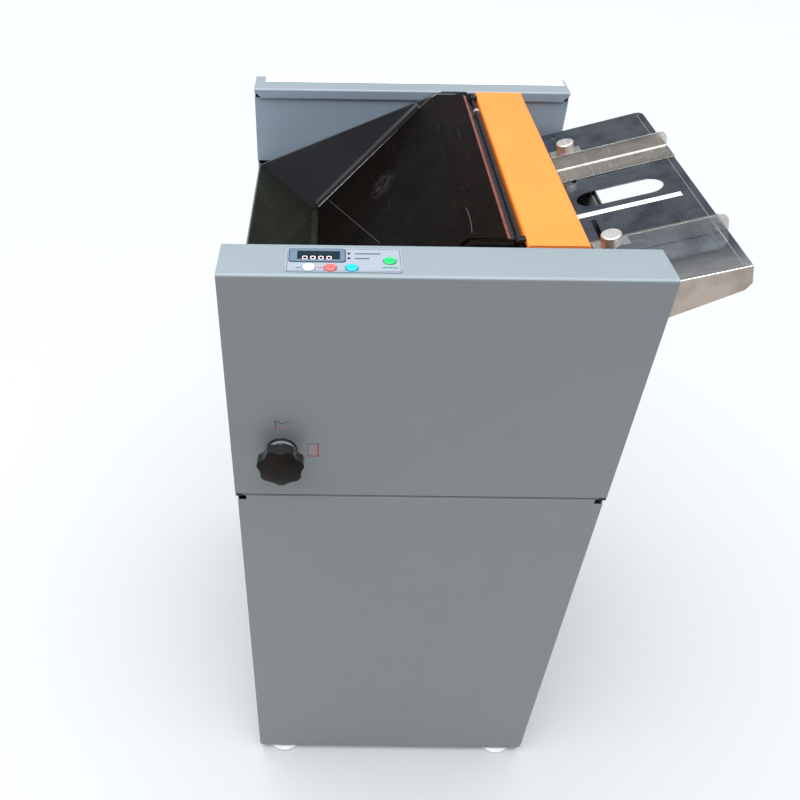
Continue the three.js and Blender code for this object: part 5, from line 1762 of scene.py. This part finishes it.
@dataclass
class Controls(Assembly):
    """The control label with its display, buttons and lamps.

    Attributes:
        film_top: The label film's height.
        rim: Inner, crest, shoulder and outer radius of a button's rim.
        rim_heights: Heights of its foot, inner edge, shoulder and crest over the film.
        border: Inset and corner radius of the border line's outer and inner edge.
        bezel_line: The same for the shadow line round the bezel.
        bezel_drop: How far its foot lies under the bezel.
        bezel_rise: Its height.
        bars: Left, front, right and rear side of each dark bar.
        green_bar: The same for the bar under the green button.
        bar_round: The radius of the bars' corners.
        arrow: The red arrow's left end, neck, tip and middle.
        arrow_halves: Half of its shaft's and of its head's width.
        digit: A digit's width and height.
        digit_line: Its strokes' width and the gap at their ends.
        digit_start: The first digit's left front corner.
        digit_pitch: The distance between digits.
        digits: How many there are.
    """

    film_top: float = 1045.1
    rim: tuple[float, ...] = (7.2, 7.4, 7.65, 7.75)
    rim_heights: tuple[float, ...] = (-0.2, 0.1, 0.12, 0.18)
    border: tuple[Point, Point] = ((1.6, 3.0), (2.3, 2.4))
    bezel_line: tuple[Point, Point] = ((-0.9, 3.8), (0.1, 3.0))
    bezel_drop: float = 0.35
    bezel_rise: float = 0.9
    bars: tuple[tuple[float, ...], ...] = (
        (149.0, 43.4, 177.0, 45.6),
        (149.0, 33.4, 164.5, 35.6),
        (85.4, 13.4, 90.2, 15.0),
    )
    green_bar: tuple[float, ...] = (178.0, 15.4, 195.0, 17.6)
    bar_round: float = 0.3
    arrow: tuple[float, ...] = (108.2, 111.2, 113.6, 14.4)
    arrow_halves: Point = (0.6, 1.8)
    digit: Point = (4.6, 6.0)
    digit_line: float = 0.8
    digit_start: Point = (92.0, 31.8)
    digit_pitch: float = 8.8
    digits: int = 4

    def build(self) -> None:
        """Builds the label's print, the display and the buttons."""
        self.dresser.dress("control_label", LABEL_FILM, 0.0)
        self.dresser.dress("display_bezel", BEZEL_BLUE, 0.3)
        self.dresser.dress("display_window", WINDOW_GLASS, 0.0)
        self.dresser.dress("control_board", CIRCUIT, 0.1)
        self.dresser.dress_all(("lamp_rear", "lamp_front"), BLACK_PLASTIC, 0.15)
        self.print_label()
        self.outline_bezel()
        self.add_digits()
        for button in Button:
            node, x, y, cap = button.value
            self.dresser.dress(node, cap, 0.6)
            self.add_button_rim(node, x, y)

    def outline(self, node: str, inset: float, radius: float) -> list[Point]:
        """Gives a rounded outline inside a node's box.

        Args:
            node: The node's name.
            inset: How far it lies inside the box.
            radius: The radius of its corners.

        Returns:
            The outline's points.
        """
        low, high = self.place.own(node)
        return rounded(low.x + inset, low.y + inset, high.x - inset, high.y - inset, radius)

    def print_label(self) -> None:
        """Prints the border line, the plain bars and the red arrow on the label."""
        frame = self.place.flat(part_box("control_label")[1].z / MM - SUNK)
        outer, inner = (self.outline("control_label", *edge) for edge in self.border)
        print_on("label_border", [outer], LABEL_LINE, frame, [inner])
        bars = [rounded(*bar, self.bar_round) for bar in self.bars]
        print_on("label_bars", bars, LABEL_DARK, frame)
        print_on("label_green_bar", [rounded(*self.green_bar, self.bar_round)], LABEL_GREEN, frame)
        left, neck, tip, y = self.arrow
        shaft, head = self.arrow_halves
        lower = [(left, y - shaft), (neck, y - shaft), (neck, y - head)]
        upper = [(neck, y + head), (neck, y + shaft), (left, y + shaft)]
        print_on("label_red_arrow", [[*lower, (tip, y), *upper]], LABEL_RED, frame)

    def outline_bezel(self) -> None:
        """Draws the dark shadow line round the display's bezel."""
        frame = self.place.flat(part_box("display_bezel")[0].z / MM - self.bezel_drop)
        outer, inner = (self.outline("display_bezel", *edge) for edge in self.bezel_line)
        add(plates("bezel_shadow_line", [outer], self.bezel_rise, frame, [inner]), BEZEL_DARK)

    def add_digits(self) -> None:
        """Lights four noughts behind the display's window."""
        frame = self.place.flat(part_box("display_window")[1].z / MM - SUNK / 2)
        strokes: list[list[Point]] = []
        width, height = self.digit
        for index in range(self.digits):
            x, y = self.digit_start[0] + index * self.digit_pitch, self.digit_start[1]
            near, middle, far = (
                ((x, level), (x + width, level)) for level in (y, y + height / 2, y + height)
            )
            rising = [(near[1], middle[1]), (middle[1], far[1]), (far[0], middle[0]), (middle[0], near[0])]
            for start, end in (*rising, near, far[::-1]):
                strokes.append(stroke(start, end, self.digit_line, self.digit_line))
        add(plates("display_digits", strokes, 0.05, frame), DIGIT_LIGHT)

    def add_button_rim(self, node: str, x: float, y: float) -> None:
        """Lays a thin dark rim round a button.

        Args:
            node: The button's node.
            x: Its place from the left.
            y: Its place from the face.
        """
        inner, crest, shoulder, outer = self.rim
        foot, edge, side, top = self.rim_heights
        profile = [(inner, foot), (outer, foot), (shoulder, side), (crest, top), (inner, edge)]
        profile.append(profile[0])
        frame = self.place.frame(x, y, self.film_top, (1, 0, 0), (0, 1, 0))
        add(turned(f"{node}_rim", profile, frame, 36), LABEL_LINE)


@dataclass
class Selector(Assembly):
    """The lobed mode knob, its ring and the two pictograms beside it.

    Attributes:
        x: The axle's place from the left.
        z: Its height.
        lobes: The knob's lobes.
        face_y: How far back in the row frame the knob's domed face reaches.
        disc_y: The same for the switch's disc.
        disc_proud: How far the rim's and the hub's foot lies before the cabinet's face.
        rim: The black rim ring's inner and outer radius, height and chamfer; it is painted shade for the
            gap round the disc.
        hub: The hub's inner and outer radius, height and chamfer.
        sunk: How far both reach into the disc.
        booklet: Left, lower, right and upper side of the open booklet, and its middle's height.
        page: Left, lower, right and upper side of the single page.
        page_rows: Heights of its rows.
    """

    x: float = 64.03
    z: float = 787.0
    lobes: int = 7
    face_y: float = -310.0
    disc_y: float = -281.0
    disc_proud: float = 1.0
    rim: tuple[float, ...] = (17.7, 19.3, 1.0, 0.3)
    hub: tuple[float, ...] = (4.4, 13.4, 1.7, 0.5)
    sunk: float = 0.1
    booklet: tuple[float, ...] = (57.4, 823.6, 74.0, 836.4, 831.4)
    page: tuple[float, ...] = (96.6, 777.0, 109.9, 798.6)
    page_rows: tuple[float, ...] = (782.0, 786.0, 790.0, 794.0)

    def build(self) -> None:
        """Dresses the knob and draws the marks on the cover's face."""

        def on_face(middle: Vector, normal: Vector) -> bool:
            """Tells whether a face belongs to the knob's domed front."""
            return normal.y < -0.85 and middle.y < self.face_y * MM

        def on_disc(middle: Vector, normal: Vector) -> bool:
            """Tells whether a face belongs to the switch's front disc."""
            return middle.y < self.disc_y * MM and normal.y < -0.5

        def on_side(middle: Vector, normal: Vector) -> bool:
            """Tells whether a face belongs to the disc's edge."""
            return middle.y < self.disc_y * MM and normal.y > -0.5

        # The knob's domed front gets a painted mottled reflection.
        knob = self.dresser.dress("mode_knob", KNOB_BLACK, 1.0, [Accent(KNOB_FACE_PAINTED_REFLECTION, on_face)])
        axle = Matrix.Translation(self.place.at(self.x, 0, self.z))
        knob.data.transform(axle @ Matrix.Rotation(math.pi / self.lobes, 4, "Y") @ axle.inverted())
        # The disc's edge and the black rim ring are painted shade for the dark gap round the disc.
        accents = [Accent(RING_GREY, on_disc), Accent(SEAL_RUBBER_AND_GAP_SHADE, on_side)]
        self.dresser.dress("mode_switch", SWITCH_GREY, 0.1, accents)
        frame = self.place.facing(-self.disc_proud, self.x, self.z)
        inner, outer, top, ease = self.rim
        crest = [(outer, top - ease), (outer - ease, top), (inner + ease, top), (inner, top - ease)]
        rim = [(inner, -self.sunk), (outer, -self.sunk), *crest, (inner, -self.sunk)]
        add(turned("selector_rim", rim, frame, 48), SEAL_RUBBER_AND_GAP_SHADE)
        inner, outer, top, ease = self.hub
        crest = [(outer, top - ease), (outer - ease, top), (inner, top)]
        hub = [(inner, -self.sunk), (outer, -self.sunk), *crest, (inner, -self.sunk)]
        add(turned("selector_hub", hub, frame, 40), HUB_BLACK)
        self.draw_booklet()
        self.draw_page()

    def draw_booklet(self) -> None:
        """Prints the open booklet on the face."""
        frame = self.place.facing(SUNK)
        left, bottom, right, top, dip = self.booklet
        fold = ((left + right) / 2, dip)
        lines = [((left, bottom), (left, top)), ((left, top), fold), (fold, (right, top))]
        print_on("booklet_mark_dark", [stroke(a, b, 0.8) for a, b in lines], MARK_DARK, frame)
        lines = [((right, bottom), (right, top)), ((left, bottom), (right, bottom))]
        print_on("booklet_mark_pale", [stroke(a, b, 0.9) for a, b in lines], MARK_PINK, frame)

    def draw_page(self) -> None:
        """Prints the single page on the face."""
        frame = self.place.facing(SUNK)
        left, bottom, right, top = self.page
        lines = [((left, bottom), (left, top)), ((left, top), (right, top))]
        print_on("page_mark_thin", [stroke(a, b, 0.6) for a, b in lines], MARK_DARK, frame)
        lines = [((right, bottom), (right, top)), ((left, bottom), (right, bottom))]
        print_on("page_mark_thick", [stroke(a, b, 1.7) for a, b in lines], MARK_RED, frame)
        rows = [stroke((left + 2.2, z), (right - 2.6, z), 0.9) for z in self.page_rows]
        add(plates("page_mark_rows", rows, 0.05, frame), MARK_PINK)


@dataclass
class Studio:
    """The pale floor, soft lights and the photograph's camera, in metres."""

    floor_half: float = 14.0
    floor_tone: Colour = (0.45, 0.43, 0.42, 1)
    surround_tone: Colour = (0.94, 0.96, 1.0, 1)
    surround_power: float = 0.34
    key_from: tuple[float, float, float] = (-0.6, -1.3, 3.2)
    key_to: tuple[float, float, float] = (0.0, 0.0, 0.8)
    key_size: float = 2.4
    key_power: float = 10.0
    sky_from: tuple[float, float, float] = (-0.25, -0.3, 3.0)
    sky_tone: tuple[float, float, float] = (0.86, 0.94, 1.0)
    sky_power: float = 6.6
    sky_spread: float = math.radians(90)
    position: tuple[float, float, float] = (-0.18367, -1.01961, 1.50723)
    pitch: float = math.radians(49.215)
    yaw: float = math.radians(-0.068)
    roll: float = math.radians(0.796)
    lens: float = 36.69
    sensor: float = 36.0
    shift: float = 0.0885
    clip: float = 0.01

    def build(self) -> None:
        """Sets up the floor, the lights, the world and the camera."""
        self.add_floor()
        self.add_key()
        self.add_sky()
        self.set_world()
        self.add_camera()

    def add_floor(self) -> None:
        """Lays the floor."""
        low, high = -self.floor_half, self.floor_half
        corners = [(low, low, 0), (high, low, 0), (high, high, 0), (low, high, 0)]
        mesh = mesh_of("floor", corners, [(0, 1, 2, 3)])
        shader = Shader("floor_paint")
        mesh.materials.append(shader.finish(Base_Color=self.floor_tone, Roughness=0.7))
        link("floor", mesh)

    def hang(self, light: bpy.types.Light, start: Sequence[float], end: Sequence[float]) -> None:
        """Hangs a light at a place and turns it to another.

        Args:
            light: The light.
            start: Its place.
            end: Where it looks.
        """
        thing = link(light.name, light)
        turn = (Vector(end) - Vector(start)).to_track_quat("-Z", "Y").to_matrix().to_4x4()
        thing.matrix_world = Matrix.Translation(start) @ turn

    def add_key(self) -> None:
        """Adds the soft box before the machine."""
        light = bpy.data.lights.new("key_light", "AREA")
        light.shape = "SQUARE"
        light.size = self.key_size
        light.energy = self.key_power
        self.hang(light, self.key_from, self.key_to)

    def add_sky(self) -> None:
        """Adds the wide cool light from above."""
        light = bpy.data.lights.new("sky_light", "SUN")
        light.energy = self.sky_power
        light.angle = self.sky_spread
        light.color = self.sky_tone
        self.hang(light, self.sky_from, (0, 0, 0))

    def set_world(self) -> None:
        """Sets a plain pale surround."""
        world = bpy.data.worlds.new("studio_surround")
        world.use_nodes = True
        background = world.node_tree.nodes["Background"]
        background.inputs[0].default_value = self.surround_tone
        background.inputs[1].default_value = self.surround_power
        bpy.context.scene.world = world
        bpy.context.scene.view_settings.view_transform = "Standard"

    def add_camera(self) -> None:
        """Sets the camera at the photograph's place and angle."""
        camera = bpy.data.cameras.new("photo_camera")
        camera.lens = self.lens
        camera.sensor_width = self.sensor
        camera.shift_x = self.shift
        camera.clip_start = self.clip
        thing = link("photo_camera", camera)
        turn = Matrix.Rotation(self.yaw, 4, "Z") @ Matrix.Rotation(self.pitch, 4, "X")
        thing.matrix_world = Matrix.Translation(self.position) @ turn @ Matrix.Rotation(self.roll, 4, "Z")
        bpy.context.scene.camera = thing


def main() -> None:
    """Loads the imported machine, dresses it and sets up the studio."""
    logging.basicConfig(level=logging.INFO, format="%(name)s: %(message)s")
    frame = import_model()
    dresser = Dresser(frame["nodes"])
    place = Place(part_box("front_upper_cover")[0])
    kinds = (Cabinet, Feet, RearFlange, Trough, Hump, Guard, FeedTray, Works, Controls, Selector)
    for assembly in (*(kind(dresser, place) for kind in kinds), Studio()):
        log.info("building %s", type(assembly).__name__)
        assembly.build()


if __name__ == "__main__":
    main()
